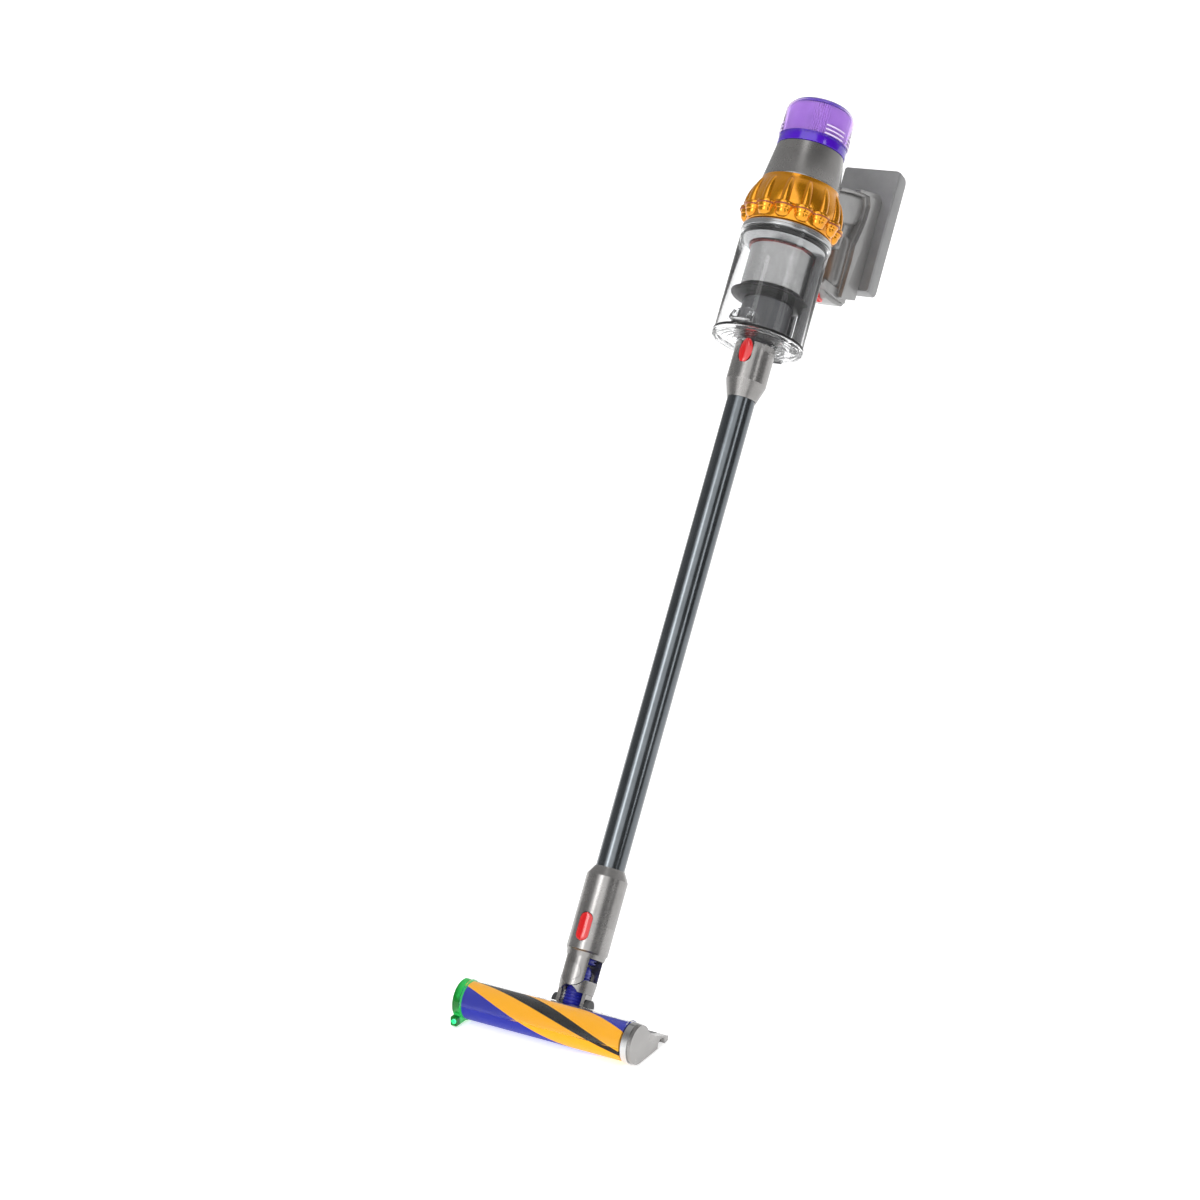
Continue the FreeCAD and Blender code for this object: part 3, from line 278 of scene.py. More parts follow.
# %% One function for the opaque finishes
def plastic(name, dark, light, shine, metallic=0.0, coat=0.0, scale=900.0, bump=0.04, level=False,
            drift=0.08, wear=0.35, lines=0.0):
    material, tree, shader, vector = start_material(name, level)
    cloud, normal = use_grain(tree, shader, vector, shine, drift, scale, bump)
    colour = mix_colours(tree, cloud, dark, light)
    worn = place_group(tree, EDGE_WEAR, Amount=wear)
    tree.links.new(cloud, worn.inputs["Cloud"])
    pale = [min(1.0, channel * 1.5 + 0.03) for channel in light]
    tree.links.new(lay_over(tree, worn.outputs["Mask"], colour, pale), shader.inputs["Base Color"])
    if lines:
        scratches = place_group(tree, HAIRLINES, vector)
        add_relief(tree, shader, scratches.outputs["Height"], lines, under=normal)
    shader.inputs["Metallic"].default_value = metallic
    shader.inputs["Coat Weight"].default_value = coat
    shader.inputs["Coat Roughness"].default_value = 0.10
    return material


FINISHES = {
    "nickel_housing": plastic("satin_nickel", (0.25, 0.243, 0.238), (0.31, 0.302, 0.295), 0.27, 0.82, 0.12,
                              2600.0, 0.04, lines=0.02),
    "grey_plastic": plastic("dark_moulding", (0.055, 0.056, 0.06), (0.085, 0.086, 0.09), 0.38, 0.15),
    "crown_grey": plastic("pale_moulding", (0.36, 0.365, 0.37), (0.46, 0.465, 0.47), 0.24, 0.75, 0.2),
    "battery_grey": plastic("battery_moulding", (0.235, 0.235, 0.238), (0.29, 0.29, 0.293), 0.40, 0.55, 0.0,
                            1400.0, 0.10),
    "cyclone_gold": plastic("amber_gloss", (0.66, 0.25, 0.004), (0.80, 0.33, 0.005), 0.19, 0.75, 0.5,
                            wear=0.1),
    "red_plastic": plastic("red_gloss", (0.60, 0.004, 0.007), (0.76, 0.012, 0.014), 0.18, 0.0, 0.6),
    "filter_violet": plastic("violet_gloss", (0.045, 0.001, 0.36), (0.07, 0.002, 0.48), 0.14, 0.0, 0.6),
    "filter_media": plastic("pale_paper", (0.74, 0.62, 0.86), (0.90, 0.80, 0.97), 0.8, wear=0.0),
    "black_rubber": plastic("black_rubber", (0.008, 0.008, 0.008), (0.02, 0.02, 0.02), 0.38),
    "steel_pin": plastic("turned_steel", (0.5, 0.5, 0.5), (0.6, 0.6, 0.6), 0.25, 1.0, lines=0.05),
    "motor_metal": plastic("motor_metal", (0.3, 0.3, 0.32), (0.4, 0.4, 0.42), 0.35, 0.8),
    "button_dark": plastic("dark_button", (0.02, 0.02, 0.022), (0.04, 0.04, 0.042), 0.3),
    "board_green": plastic("board_green", (0.01, 0.12, 0.04), (0.02, 0.16, 0.06), 0.3),
    "cell_wrap": plastic("cell_wrap", (0.05, 0.2, 0.4), (0.08, 0.25, 0.5), 0.25),
    "hose_blue": plastic("hose_blue", (0.012, 0.016, 0.30), (0.022, 0.03, 0.46), 0.28, 0.0, 0.3),
    "roller_core": plastic("roller_core", (0.1, 0.1, 0.1), (0.14, 0.14, 0.14), 0.4, level=True),
    "ring_silver": plastic("bright_ring", (0.50, 0.50, 0.50), (0.60, 0.60, 0.60), 0.20, 1.0, level=True,
                           lines=0.04),
    "felt": plastic("grey_felt", (0.05, 0.05, 0.055), (0.09, 0.09, 0.10), 0.95, level=True, bump=0.5),
    "wheel_rubber": plastic("wheel_rubber", (0.02, 0.02, 0.02), (0.04, 0.04, 0.04), 0.6, level=True),
    "wand_graphite": plastic("graphite_tube", (0.10, 0.112, 0.122), (0.125, 0.138, 0.15), 0.20, 0.95, 0.25,
                             lines=0.03),
    "cap_grey": plastic("cap_grey", (0.46, 0.445, 0.435), (0.54, 0.525, 0.515), 0.34, 0.35, 0.1, level=True),
}
print("opaque finishes:", len(FINISHES))

# %% [markdown]
# ## Clear plastics
# The bin, the roller's cover and the filter's shell are clear mouldings with a real wall thickness,
# so full transmission does most of the work. The bin and the filter take a lower index than real
# plastic has, because several true walls one behind the other darken what is inside; a thin coat on
# the bin gives its highlight back. A faint unevenness in the roughness stands for handling. Colour,
# transmission and index are plain socket values.


# %% Clear, violet, red and green mouldings
def clear(name, colour, rough, ior=1.46, glow=None, coat=0.0):
    material, tree, shader, vector = start_material(name)
    shader.inputs["Base Color"].default_value = (*colour, 1.0)
    shader.inputs["Transmission Weight"].default_value = 1.0
    shader.inputs["IOR"].default_value = ior
    use_grain(tree, shader, vector, rough, 0.03, 60.0, 0.015)
    if glow is not None:
        shader.inputs["Emission Color"].default_value = (*glow, 1.0)
        shader.inputs["Emission Strength"].default_value = 0.8
    shader.inputs["Coat Weight"].default_value = coat
    shader.inputs["Coat IOR"].default_value = 1.6
    return material


FINISHES["clear_plastic"] = clear("clear_polycarbonate", (0.99, 0.992, 0.995), 0.02, 1.12, coat=0.2)
FINISHES["filter_clear"] = clear("violet_polycarbonate", (0.80, 0.62, 0.99), 0.05, 1.25)
FINISHES["display_glass"] = clear("display_glass", (0.05, 0.05, 0.06), 0.05)
FINISHES["laser_glass"] = clear("laser_glass", (0.2, 0.95, 0.4), 0.05, glow=(0.0, 0.8, 0.25))
# The green cap gets a faint glow of its own: painted light standing for the laser's light carried through the cap,
# which is no lamp.
FINISHES["cap_green"] = clear("green_polycarbonate", (0.03, 0.40, 0.09), 0.10, glow=(0.0, 0.05, 0.006))
FINISHES["clear_red"] = clear("clear_red", (0.80, 0.05, 0.04), 0.08)

# %% Two opaque finishes that single pieces ask for by name
FINISHES["handle_satin"] = plastic("handle_satin", (0.24, 0.238, 0.236), (0.30, 0.297, 0.294), 0.33, 0.5, 0.1,
                                   1800.0, 0.06)
# The dark gold-brown finish is a shaded copy of the amber gloss: painted shade for the underside of the cyclone
# flange.
FINISHES["gold_painted_shade"] = plastic("gold_painted_shade", (0.20, 0.035, 0.006), (0.34, 0.075, 0.010), 0.22, coat=0.4)

# %% Steel mesh: rows of tiny round holes, laid out by angle and height round the wand's axis
def steel_mesh():
    material, tree, shader, vector = start_material("steel_mesh")
    cloud, normal = use_grain(tree, shader, vector, 0.26, 0.06, 900.0, 0.02)
    parts = tree.nodes.new("ShaderNodeSeparateXYZ")
    tree.links.new(vector, parts.inputs["Vector"])
    angle = calculate(tree, "ARCTAN2", parts.outputs["Y"], parts.outputs["X"])
    holes_round = 240.0
    pitch = math.tau * span("shroud_mesh")[1].x * MM / holes_round
    flat = tree.nodes.new("ShaderNodeCombineXYZ")
    tree.links.new(calculate(tree, "MULTIPLY", angle, holes_round / math.tau), flat.inputs["X"])
    tree.links.new(calculate(tree, "DIVIDE", parts.outputs["Z"], pitch), flat.inputs["Y"])
    lattice = add_node(tree, "ShaderNodeTexVoronoi", voronoi_dimensions="2D", in_Scale=1.0, in_Randomness=0.0)
    tree.links.new(flat.outputs["Vector"], lattice.inputs["Vector"])
    hole = add_node(tree, "ShaderNodeMapRange", interpolation_type="SMOOTHSTEP")
    hole.inputs["From Min"].default_value = 0.34
    hole.inputs["From Max"].default_value = 0.24
    tree.links.new(lattice.outputs["Distance"], hole.inputs["Value"])
    steel = mix_colours(tree, cloud, (0.42, 0.42, 0.42), (0.52, 0.52, 0.52))
    # The holes are painted near black: painted shade for the dark space seen through them, since the sheet itself
    # is not cut.
    dark = lay_over(tree, hole.outputs["Result"], steel, (0.05, 0.05, 0.05))
    tree.links.new(dark, shader.inputs["Base Color"])
    add_relief(tree, shader, calculate(tree, "SUBTRACT", 1.0, hole.outputs["Result"]), 0.35, 0.0003, normal)
    shader.inputs["Metallic"].default_value = 1.0
    return material


FINISHES["steel_mesh"] = steel_mesh()
print("mesh pitch from the shroud's radius:", round(span("shroud_mesh")[1].x, 1), "mm")

# %% [markdown]
# ## The roller's pile
# The soft roller is wrapped in woven pile in four broad bands that run round it in a slow spiral:
# blue, amber, charcoal, amber. The position round the roller, less a share of the distance along it,
# tells which band a point is in. Each edge may also drift a little, because the strips of pile are
# not quite the same width at both ends. Sheen and a fibre bump make it look soft.


# %% Woven pile in spiral bands
def roller_pile():
    material, tree, shader, vector = start_material("roller_pile", level=True)
    axis = Vector(JOINTS["roller_spin"]["pos_m"])
    centre = add_node(tree, "ShaderNodeMapping")
    centre.inputs["Location"].default_value = (0.0, -axis.y, -axis.z)
    tree.links.new(vector, centre.inputs["Vector"])
    parts = tree.nodes.new("ShaderNodeSeparateXYZ")
    tree.links.new(centre.outputs["Vector"], parts.inputs["Vector"])
    angle = calculate(tree, "ARCTAN2", parts.outputs["Z"], parts.outputs["Y"])
    full_turn, first_band, twist_per_metre = 360.0, 60.0, -750.0
    degrees = calculate(tree, "MULTIPLY_ADD", angle, 180.0 / math.pi, full_turn + first_band)
    wound = calculate(tree, "MULTIPLY_ADD", parts.outputs["X"], twist_per_metre, degrees)
    around = calculate(tree, "MODULO", calculate(tree, "ADD", wound, full_turn), full_turn)
    blue, amber, charcoal = (0.022, 0.03, 0.36), (0.96, 0.43, 0.01), (0.013, 0.013, 0.014)
    colour = mix_colours(tree, around, blue, blue)
    for edge, drift, shade in ((91.0, 100.0, amber), (161.0, 30.0, charcoal), (196.0, -150.0, amber),
                               (262.0, 70.0, blue)):
        line = calculate(tree, "MULTIPLY_ADD", parts.outputs["X"], drift, edge)
        colour = lay_over(tree, calculate(tree, "GREATER_THAN", around, line), colour, shade)
    tree.links.new(colour, shader.inputs["Base Color"])
    fibres = add_node(tree, "ShaderNodeTexNoise", in_Scale=2200.0, in_Detail=2.0)
    tree.links.new(vector, fibres.inputs["Vector"])
    cloud, normal = use_grain(tree, shader, vector, 0.72, 0.1, 420.0, 0.25)
    add_relief(tree, shader, fibres.outputs["Fac"], 0.55, 0.0006, normal)
    shader.inputs["Sheen Weight"].default_value = 0.25
    shader.inputs["Sheen Roughness"].default_value = 0.4
    return material


FINISHES["roller_pile"] = roller_pile()
# These three shine less than a plain moulding does, or they look grey under the lamps.
for dull in ("black_rubber", "grey_plastic", "roller_pile"):
    FINISHES[dull].node_tree.nodes["Principled BSDF"].inputs["Specular IOR Level"].default_value = 0.22
print("finishes:", len(FINISHES))


# %% Give every CAD node its finish
for part in frame["record"]["subparts"]:
    node = NODES[part["node"]]
    node.data.materials.clear()
    node.data.materials.append(FINISHES[part["material_slot"]])

# %% [markdown]
# ## Modelling tools
# Almost every piece begins as one of three things: an outline spun about the wand's axis, a flat blank
# with a thickness, or a block. Sharp corners never catch the light, so each piece also gets small
# rounded edges, either on the outline before it is spun or with a bevel afterwards.


# %% Spin, blank, block and repeat
def verts_of(geometry):
    """The vertices among what an operator gives back."""
    return [item for item in geometry if isinstance(item, bmesh.types.BMVert)]


def turned(outline, rounds=(), steps=96, closed=True):
    """Spin (radius, height) corners about the upright axis; rounds lists (corner, radius)."""
    bm = bmesh.new()
    corners = [bm.verts.new((radius, 0.0, height)) for radius, height in outline]
    for first, second in zip(corners, corners[1:]):
        bm.edges.new((first, second))
    if closed:
        bm.edges.new((corners[-1], corners[0]))
    for index, radius in rounds:
        bmesh.ops.bevel(bm, geom=[corners[index]], offset=radius, offset_type="OFFSET", segments=4,
                        profile=0.5, affect="VERTICES", material=-1)
    bmesh.ops.spin(bm, geom=bm.verts[:] + bm.edges[:], cent=(0, 0, 0), axis=(0, 0, 1), dvec=(0, 0, 0),
                   angle=math.tau, steps=steps, use_merge=True, use_duplicate=False)
    return bm


def soften(bm, width, segments=3, turn=35.0):
    """Round every edge where the surface turns by more than an angle."""
    bmesh.ops.recalc_face_normals(bm, faces=bm.faces)
    limit = math.radians(turn)
    edges = [edge for edge in bm.edges if edge.is_manifold and edge.calc_face_angle(0.0) > limit]
    bmesh.ops.bevel(bm, geom=edges, offset=width, offset_type="OFFSET", segments=segments, profile=0.5,
                    affect="EDGES", clamp_overlap=True, material=-1)
    return bm


def blank(outline, start, depth, way="X", corner=0.0):
    """A flat blank cut to an outline in the plane across one axis, from start through depth."""
    bm = bmesh.new()
    spots = {"X": lambda a, b: (start, a, b), "Y": lambda a, b: (a, start, b)}
    face = bm.faces.new([bm.verts.new(spots[way](a, b)) for a, b in outline])
    if corner:
        bmesh.ops.bevel(bm, geom=bm.verts[:], offset=corner, offset_type="OFFSET", segments=6, profile=0.5,
                        affect="VERTICES", clamp_overlap=True, material=-1)
        face = bm.faces[:][0]
    grown = bmesh.ops.extrude_face_region(bm, geom=[face])
    top = verts_of(grown["geom"])
    push = {"X": (depth, 0, 0), "Y": (0, depth, 0)}[way]
    bmesh.ops.translate(bm, verts=top, vec=push)
    return bm


def block(low, high, corner=0.0, segments=3):
    """A rounded block between two corners."""
    bm = bmesh.new()
    low, high = Vector(low), Vector(high)
    bmesh.ops.create_cube(bm, size=1.0)
    bmesh.ops.scale(bm, verts=bm.verts, vec=high - low)
    bmesh.ops.translate(bm, verts=bm.verts, vec=(low + high) / 2)
    if corner:
        soften(bm, corner, segments)
    return bm


def round_bar(centre, radius, depth, segments=32):
    """A round bar from a centre point along X."""
    bm = bmesh.new()
    turn = Matrix.Rotation(math.pi / 2, 4, "Y")
    place = Matrix.Translation(centre) @ turn @ Matrix.Translation((0, 0, depth / 2))
    bmesh.ops.create_cone(bm, cap_ends=True, segments=segments, radius1=radius, radius2=radius, depth=depth,
                          matrix=place)
    return bm


def join(bm, *others):
    """Bring other meshes into one, as loose closed shells of the same piece."""
    carrier = bpy.data.meshes.new("carrier")
    for other in others:
        other.to_mesh(carrier)
        bm.from_mesh(carrier)
        other.free()
    bpy.data.meshes.remove(carrier)
    return bm


def repeat_round(bm, angles):
    """Copy the whole mesh to a list of angles, in degrees, round the upright axis."""
    first = bm.verts[:] + bm.edges[:] + bm.faces[:]
    copies = []
    for _ in angles[1:]:
        made = bmesh.ops.duplicate(bm, geom=first)
        copies.append(verts_of(made["geom"]))
    start = verts_of(first)
    for angle, verts in zip(angles, [start] + copies):
        bmesh.ops.rotate(bm, verts=verts, cent=(0, 0, 0), matrix=Matrix.Rotation(math.radians(angle), 3, "Z"))
    return bm


def evenly(count, phase=0.0):
    """Angles in degrees that share out a full turn."""
    return [phase + 360.0 * index / count for index in range(count)]


def make_piece(bm, name, slot, body, stands_for=(), sharp=38.0, finish=None):
    bmesh.ops.remove_doubles(bm, verts=bm.verts, dist=0.0005)
    bmesh.ops.recalc_face_normals(bm, faces=bm.faces)
    bmesh.ops.transform(bm, matrix=WAND @ Matrix.Scale(MM, 4), verts=bm.verts)
    mesh = bpy.data.meshes.new(name)
    bm.to_mesh(mesh)
    bm.free()
    mesh.polygons.foreach_set("use_smooth", [True] * len(mesh.polygons))
    mesh.set_sharp_from_angle(angle=math.radians(sharp))
    mesh.materials.append(FINISHES[finish or slot])
    piece = bpy.data.objects.new(name, mesh)
    bpy.context.scene.collection.objects.link(piece)
    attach(piece, body)
    if stands_for:
        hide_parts(*stands_for)
    print(name, "has", len(mesh.polygons), "faces")
    return piece


# %% [markdown]
# ## The filter
# The filter is a clear violet cup upside down, over a ring of pleated paper. The cup is one spun
# outline whose shoulder is a quarter circle; the pleats are a circle with every other point pulled in,
# because that is how folded paper stands. Groups of three ribs round the cup are there to grip; they
# are painted pale, as painted highlights along them.

# %% Clear violet cover
filter_radius = span("filter_band")[1].x
cover_low, cover_high = span("filter_shell")[0].z, span("filter_shell")[1].z
pod_radius = span("display_pod")[1].x
SHOULDER = 17.0
COVER_WALL = 1.8


def shoulder(inset, steps=10):
    """The quarter circle at the top of the cover, from the side to the flat."""
    points = []
    for step in range(steps + 1):
        angle = math.pi / 2 * step / steps
        points.append((filter_radius - SHOULDER + (SHOULDER - inset) * math.cos(angle),
                       cover_high - SHOULDER + (SHOULDER - inset) * math.sin(angle)))
    return points


cover_outline = [(filter_radius - COVER_WALL, cover_low), (filter_radius, cover_low)] + shoulder(0.0)
cover_outline += [(pod_radius + 1.0, cover_high), (pod_radius + 1.0, cover_high - COVER_WALL)]
cover_outline += shoulder(COVER_WALL)[::-1]
make_piece(turned(cover_outline, rounds=((1, 0.5),)), "filter_cover", "filter_clear", "filter",
           ("filter_shell",), sharp=50.0)

# %% Grip ribs: a small square bar swept round part of the cover
RIB_SWEEP = 38.0
RIB_GROUPS = (-30.0, 20.0, 70.0, 110.0, 160.0, -154.0)


def swept_bar(inner, outer, low, high, sweep, steps=12):
    """A bar bent round the upright axis, centred on azimuth zero."""
    bm = bmesh.new()
    face = bm.faces.new([bm.verts.new(spot) for spot in
                         ((inner, 0, low), (outer, 0, low), (outer, 0, high), (inner, 0, high))])
    half_back = Matrix.Rotation(-math.radians(sweep) / 2, 3, "Z")
    bmesh.ops.rotate(bm, verts=bm.verts, cent=(0, 0, 0), matrix=half_back)
    bmesh.ops.spin(bm, geom=[face] + list(face.edges) + list(face.verts), cent=(0, 0, 0), axis=(0, 0, 1),
                   dvec=(0, 0, 0), angle=math.radians(sweep), steps=steps, use_merge=False)
    return bm


ribs = bmesh.new()
for height in (cover_low + 4.0, cover_low + 9.6, cover_low + 15.2):
    rib = swept_bar(filter_radius - 0.3, filter_radius + 1.0, height, height + 1.9, RIB_SWEEP)
    ribs = join(ribs, soften(rib, 0.4, 2))
# The ribs take the pale paper finish, not the cover's violet: painted highlights along them.
make_piece(repeat_round(ribs, list(RIB_GROUPS)), "filter_grip_ribs", "filter_media", "filter")

# %% Deep violet rings: the base band and the ring under the shoulder
band_low, band_high = span("filter_band")
band_outline = [(pod_radius + 4.0, band_low.z), (filter_radius, band_low.z), (filter_radius, band_high.z),
                (filter_radius - 1.0, band_high.z), (filter_radius - 1.0, band_high.z + 3.5),
                (filter_radius - COVER_WALL - 0.2, band_high.z + 3.5),
                (filter_radius - COVER_WALL - 0.2, band_high.z - 2.0), (pod_radius + 4.0, band_high.z - 2.0)]
make_piece(turned(band_outline, rounds=((1, 0.7),)), "filter_base_band", "filter_violet", "filter",
           ("filter_band",))
ring_outline = [(34.0, cover_high - 8.5), (40.6, cover_high - 8.5), (38.4, cover_high - 4.0),
                (34.0, cover_high - 3.4)]
make_piece(turned(ring_outline, rounds=((1, 0.6), (2, 0.8))), "filter_top_ring", "filter_violet", "filter")

# %% Pleated paper
PLEATS = 84
media_low = span("filter_media")[0]


def pleated_ring(inner, outer, fold, low, high):
    """Two upright walls, the outer one folded, closed by strips at the top and the foot."""
    bm = bmesh.new()
    for radius in (outer, inner):
        bmesh.ops.create_circle(bm, cap_ends=False, segments=2 * PLEATS, radius=radius,
                                matrix=Matrix.Translation((0, 0, low)))
    for vert in bm.verts:
        turn = math.atan2(vert.co.y, vert.co.x) / math.tau * 2 * PLEATS
        if round(turn) % 2 and vert.co.xy.length > inner + 1.0:
            vert.co.xy *= (outer - fold) / outer
    grown = bmesh.ops.extrude_edge_only(bm, edges=bm.edges[:])
    top = verts_of(grown["geom"])
    bmesh.ops.translate(bm, verts=top, vec=(0, 0, high - low))
    for height in (low, high):
        rim = [edge for edge in bm.edges if edge.is_boundary
               and all(abs(vert.co.z - height) < 0.01 for vert in edge.verts)]
        bmesh.ops.bridge_loops(bm, edges=rim)
    return bm


paper = pleated_ring(pod_radius + 2.5, filter_radius - 4.6, 3.6, media_low.z, cover_high - 9.0)
make_piece(paper, "filter_pleats", "filter_media", "filter", ("filter_media",), sharp=20.0)

# %% [markdown]
# ## Motor housing
# A plain satin cone. Its charm is in the long soft reflections, so it has to be smooth, with a small
# radius where it meets the filter and a fine lip where it sits on the cyclones.

# %% Motor cone
cone_low, cone_high = span("motor_housing")
cone_foot = cone_high.x
cone_top = filter_radius - 0.6
motor_outline = [(cone_foot - 6.0, cone_low.z), (cone_foot, cone_low.z), (cone_foot, cone_low.z + 1.6),
                 (cone_foot - 0.5, cone_low.z + 2.2), (cone_top, cone_high.z), (cone_top - 3.0, cone_high.z),
                 (cone_foot - 6.0, cone_low.z + 4.0)]
make_piece(turned(motor_outline, rounds=((1, 0.4), (2, 0.3), (4, 1.0)), steps=128), "motor_cone",
           "nickel_housing", "main_unit", ("motor_housing",))

# %% [markdown]
# ## Cyclones
# The gold ring is a crowd of small cones moulded together. Each one shows as a tapered ridge that
# swells towards a scalloped flange, and hangs below it as a stepped cup. One cone is modelled and
# copied round. The flange's outline is the envelope of a ring of discs, which has a formula, so a
# circle with many points is moved onto it.

# %% Drum and ridges
CONES = 14
CONE_PHASE = 0.0
pack_low, pack_high = span("cyclone_pack")
flange_low, flange_high = span("cyclone_flange")
cups_low = span("cyclone_cups")[0].z
drum_outline = [(28.0, pack_low.z), (61.0, pack_low.z), (61.4, pack_low.z + 10.0), (59.6, pack_low.z + 21.0),
                (56.6, pack_low.z + 31.0), (53.2, pack_low.z + 39.0), (cone_foot, pack_high.z),
                (28.0, pack_high.z)]
drum = turned(drum_outline, rounds=((2, 6.0), (3, 8.0), (4, 6.0), (5, 2.0)), steps=156)


def lofted(rings, sides=24):
    """Join level oval rings, each (centre, half width, half depth), and close both ends."""
    bm = bmesh.new()
    loops = []
    for centre, wide, deep in rings:
        made = bmesh.ops.create_circle(bm, cap_ends=False, segments=sides, radius=1.0)
        bmesh.ops.scale(bm, verts=made["verts"], vec=(wide, deep, 1.0))
        bmesh.ops.translate(bm, verts=made["verts"], vec=centre)
        edges = list({edge for vert in made["verts"] for edge in vert.link_edges})
        if loops:
            bmesh.ops.bridge_loops(bm, edges=loops[-1] + edges)
        loops.append(edges)
    bmesh.ops.edgeloop_fill(bm, edges=loops[0])
    bmesh.ops.edgeloop_fill(bm, edges=loops[-1])
    return bm


RIDGE_RINGS = ((-4.0, 58.6, 7.0), (6.0, 59.0, 6.9), (14.0, 58.4, 6.6), (21.0, 57.2, 6.1), (27.0, 55.6, 5.5),
               (32.0, 54.0, 4.8), (35.0, 52.9, 4.0), (37.2, 52.0, 3.0), (38.6, 51.2, 1.8), (39.2, 50.4, 0.6))
ridge = lofted([((out, 0.0, pack_low.z + up), half, half * 0.94) for up, out, half in RIDGE_RINGS])
ridges = repeat_round(ridge, evenly(CONES, CONE_PHASE))
make_piece(join(drum, ridges), "cyclone_ring", "cyclone_gold", "main_unit", ("cyclone_pack",), sharp=45.0)


# %% Scalloped flange
POINTS_PER_LOBE = 20


def scallop_radius(angle, ring, lobe):
    """How far the edge of a ring of discs stands out at an angle."""
    step = math.tau / CONES
    off = (angle - math.radians(CONE_PHASE) + step / 2) % step - step / 2
    return ring * math.cos(off) + math.sqrt(max(0.0, lobe ** 2 - (ring * math.sin(off)) ** 2))


def scalloped(ring, lobe, low, high, bore):
    """A level plate with a scalloped edge and a round hole. The first circle's own radius doesn't matter."""
    bm = bmesh.new()
    points = CONES * POINTS_PER_LOBE
    level = Matrix.Translation((0, 0, low))
    bmesh.ops.create_circle(bm, cap_ends=False, segments=points, radius=60.0, matrix=level)
    for vert in bm.verts:
        angle = math.atan2(vert.co.y, vert.co.x)
        vert.co.xy = Vector((math.cos(angle), math.sin(angle))) * scallop_radius(angle, ring, lobe)
    outer = bm.edges[:]
    bmesh.ops.create_circle(bm, cap_ends=False, segments=points, radius=bore, matrix=level)
    bmesh.ops.bridge_loops(bm, edges=bm.edges[:])
    grown = bmesh.ops.extrude_face_region(bm, geom=bm.faces[:])
    top = verts_of(grown["geom"])
    bmesh.ops.translate(bm, verts=top, vec=(0, 0, high - low))
    return soften(bm, 0.7, 3, 60.0)


FLANGE_RING = 54.2
FLANGE_LOBE = 14.3
FLANGE_BORE = 40.0
flange = scalloped(FLANGE_RING, FLANGE_LOBE, flange_low.z + 0.6, flange_high.z, FLANGE_BORE)
make_piece(flange, "cyclone_scallops", "cyclone_gold", "main_unit", ("cyclone_flange",), sharp=50.0)
# A slightly wider scalloped rim under the flange, in the dark gold finish: painted shade along the flange's lower
# edge.
lip = scalloped(FLANGE_RING, FLANGE_LOBE + 0.5, flange_low.z - 1.0, flange_low.z + 1.0, FLANGE_BORE)
make_piece(lip, "cyclone_scallop_shaded_rim", "cyclone_gold", "main_unit", sharp=50.0, finish="gold_painted_shade")


# %% Cups under the flange
def cup():
    """One cup: a rolled lip, a straight neck and a round bowl."""
    top = flange_low.z - 0.6
    outline = [(0.0, cups_low + 1.6), (5.6, cups_low + 1.6), (8.8, cups_low + 4.4), (10.3, cups_low + 8.0),
               (10.5, top - 5.4), (11.6, top - 4.6), (11.8, top - 2.8), (12.4, top - 1.2), (12.8, top),
               (0.0, top)]
    bm = turned(outline, rounds=((1, 1.6), (2, 1.8), (5, 0.4), (6, 0.8)), steps=28, closed=False)
    bmesh.ops.translate(bm, verts=bm.verts, vec=(FLANGE_RING + 0.6, 0, 0))
    return bm


cups = repeat_round(cup(), evenly(CONES, CONE_PHASE))
belt = turned([(30.0, cups_low), (57.4, cups_low), (58.4, cups_low + 3.0), (58.6, flange_low.z + 0.6),
               (30.0, flange_low.z + 0.6)], rounds=((1, 2.0), (2, 2.0)), steps=96)
make_piece(join(belt, cups), "cyclone_cup_ring", "cyclone_gold", "main_unit", ("cyclone_cups",), sharp=45.0)

# %% [markdown]
# ## Inside the bin
# Under the cyclones come the crown that closes the bin, its black seal, a clear red ring, the
# perforated steel shroud, and a black rubber skirt that flares out to hold the dust down. All are
# turned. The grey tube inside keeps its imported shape.

# %% Crown, seal and red ring
crown_low, crown_high = span("bin_crown")
edge_radius = crown_high.x
bin_low, bin_high = span("clear_bin")
bin_radius = edge_radius - 1.4
neck_radius = span("shroud_seal_ring")[1].x + 0.4
crown_outline = [(neck_radius, crown_low.z - 4.0), (neck_radius + 1.4, crown_low.z - 4.4),
                 (56.0, crown_low.z + 1.6), (56.0, bin_high.z - 1.0), (56.0, bin_high.z + 1.2),
                 (edge_radius, bin_high.z + 1.2), (edge_radius, bin_high.z + 5.0),
                 (edge_radius - 0.8, bin_high.z + 5.6), (edge_radius - 0.8, crown_high.z - 1.6),
                 (edge_radius - 2.6, crown_high.z), (neck_radius, crown_high.z)]
make_piece(turned(crown_outline, rounds=((2, 0.8), (5, 0.5), (6, 0.4), (8, 0.4), (9, 0.8)), steps=128),
           "bin_crown_ring", "crown_grey", "main_unit", ("bin_crown",))
seal_outline = [(55.6, crown_low.z + 1.8), (56.8, crown_low.z + 2.2), (56.8, crown_low.z + 4.6),
                (56.3, crown_low.z + 5.0), (56.8, crown_low.z + 5.4), (56.8, bin_high.z - 0.4),
                (55.6, bin_high.z + 0.6)]
make_piece(turned(seal_outline, rounds=((1, 0.3), (5, 0.3))), "bin_top_gasket",
           "black_rubber", "main_unit", ("bin_top_seal",))
ring_low, ring_high = span("shroud_seal_ring")
red_outline = [(38.0, ring_low.z), (ring_high.x - 0.8, ring_low.z), (ring_high.x, ring_low.z + 1.2),
               (ring_high.x, ring_high.z - 1.0), (ring_high.x - 1.0, ring_high.z), (38.0, ring_high.z)]
make_piece(turned(red_outline, rounds=((1, 0.5), (2, 0.5), (3, 0.5))), "shroud_red_ring", "red_plastic",
           "main_unit", ("shroud_seal_ring",), finish="clear_red")

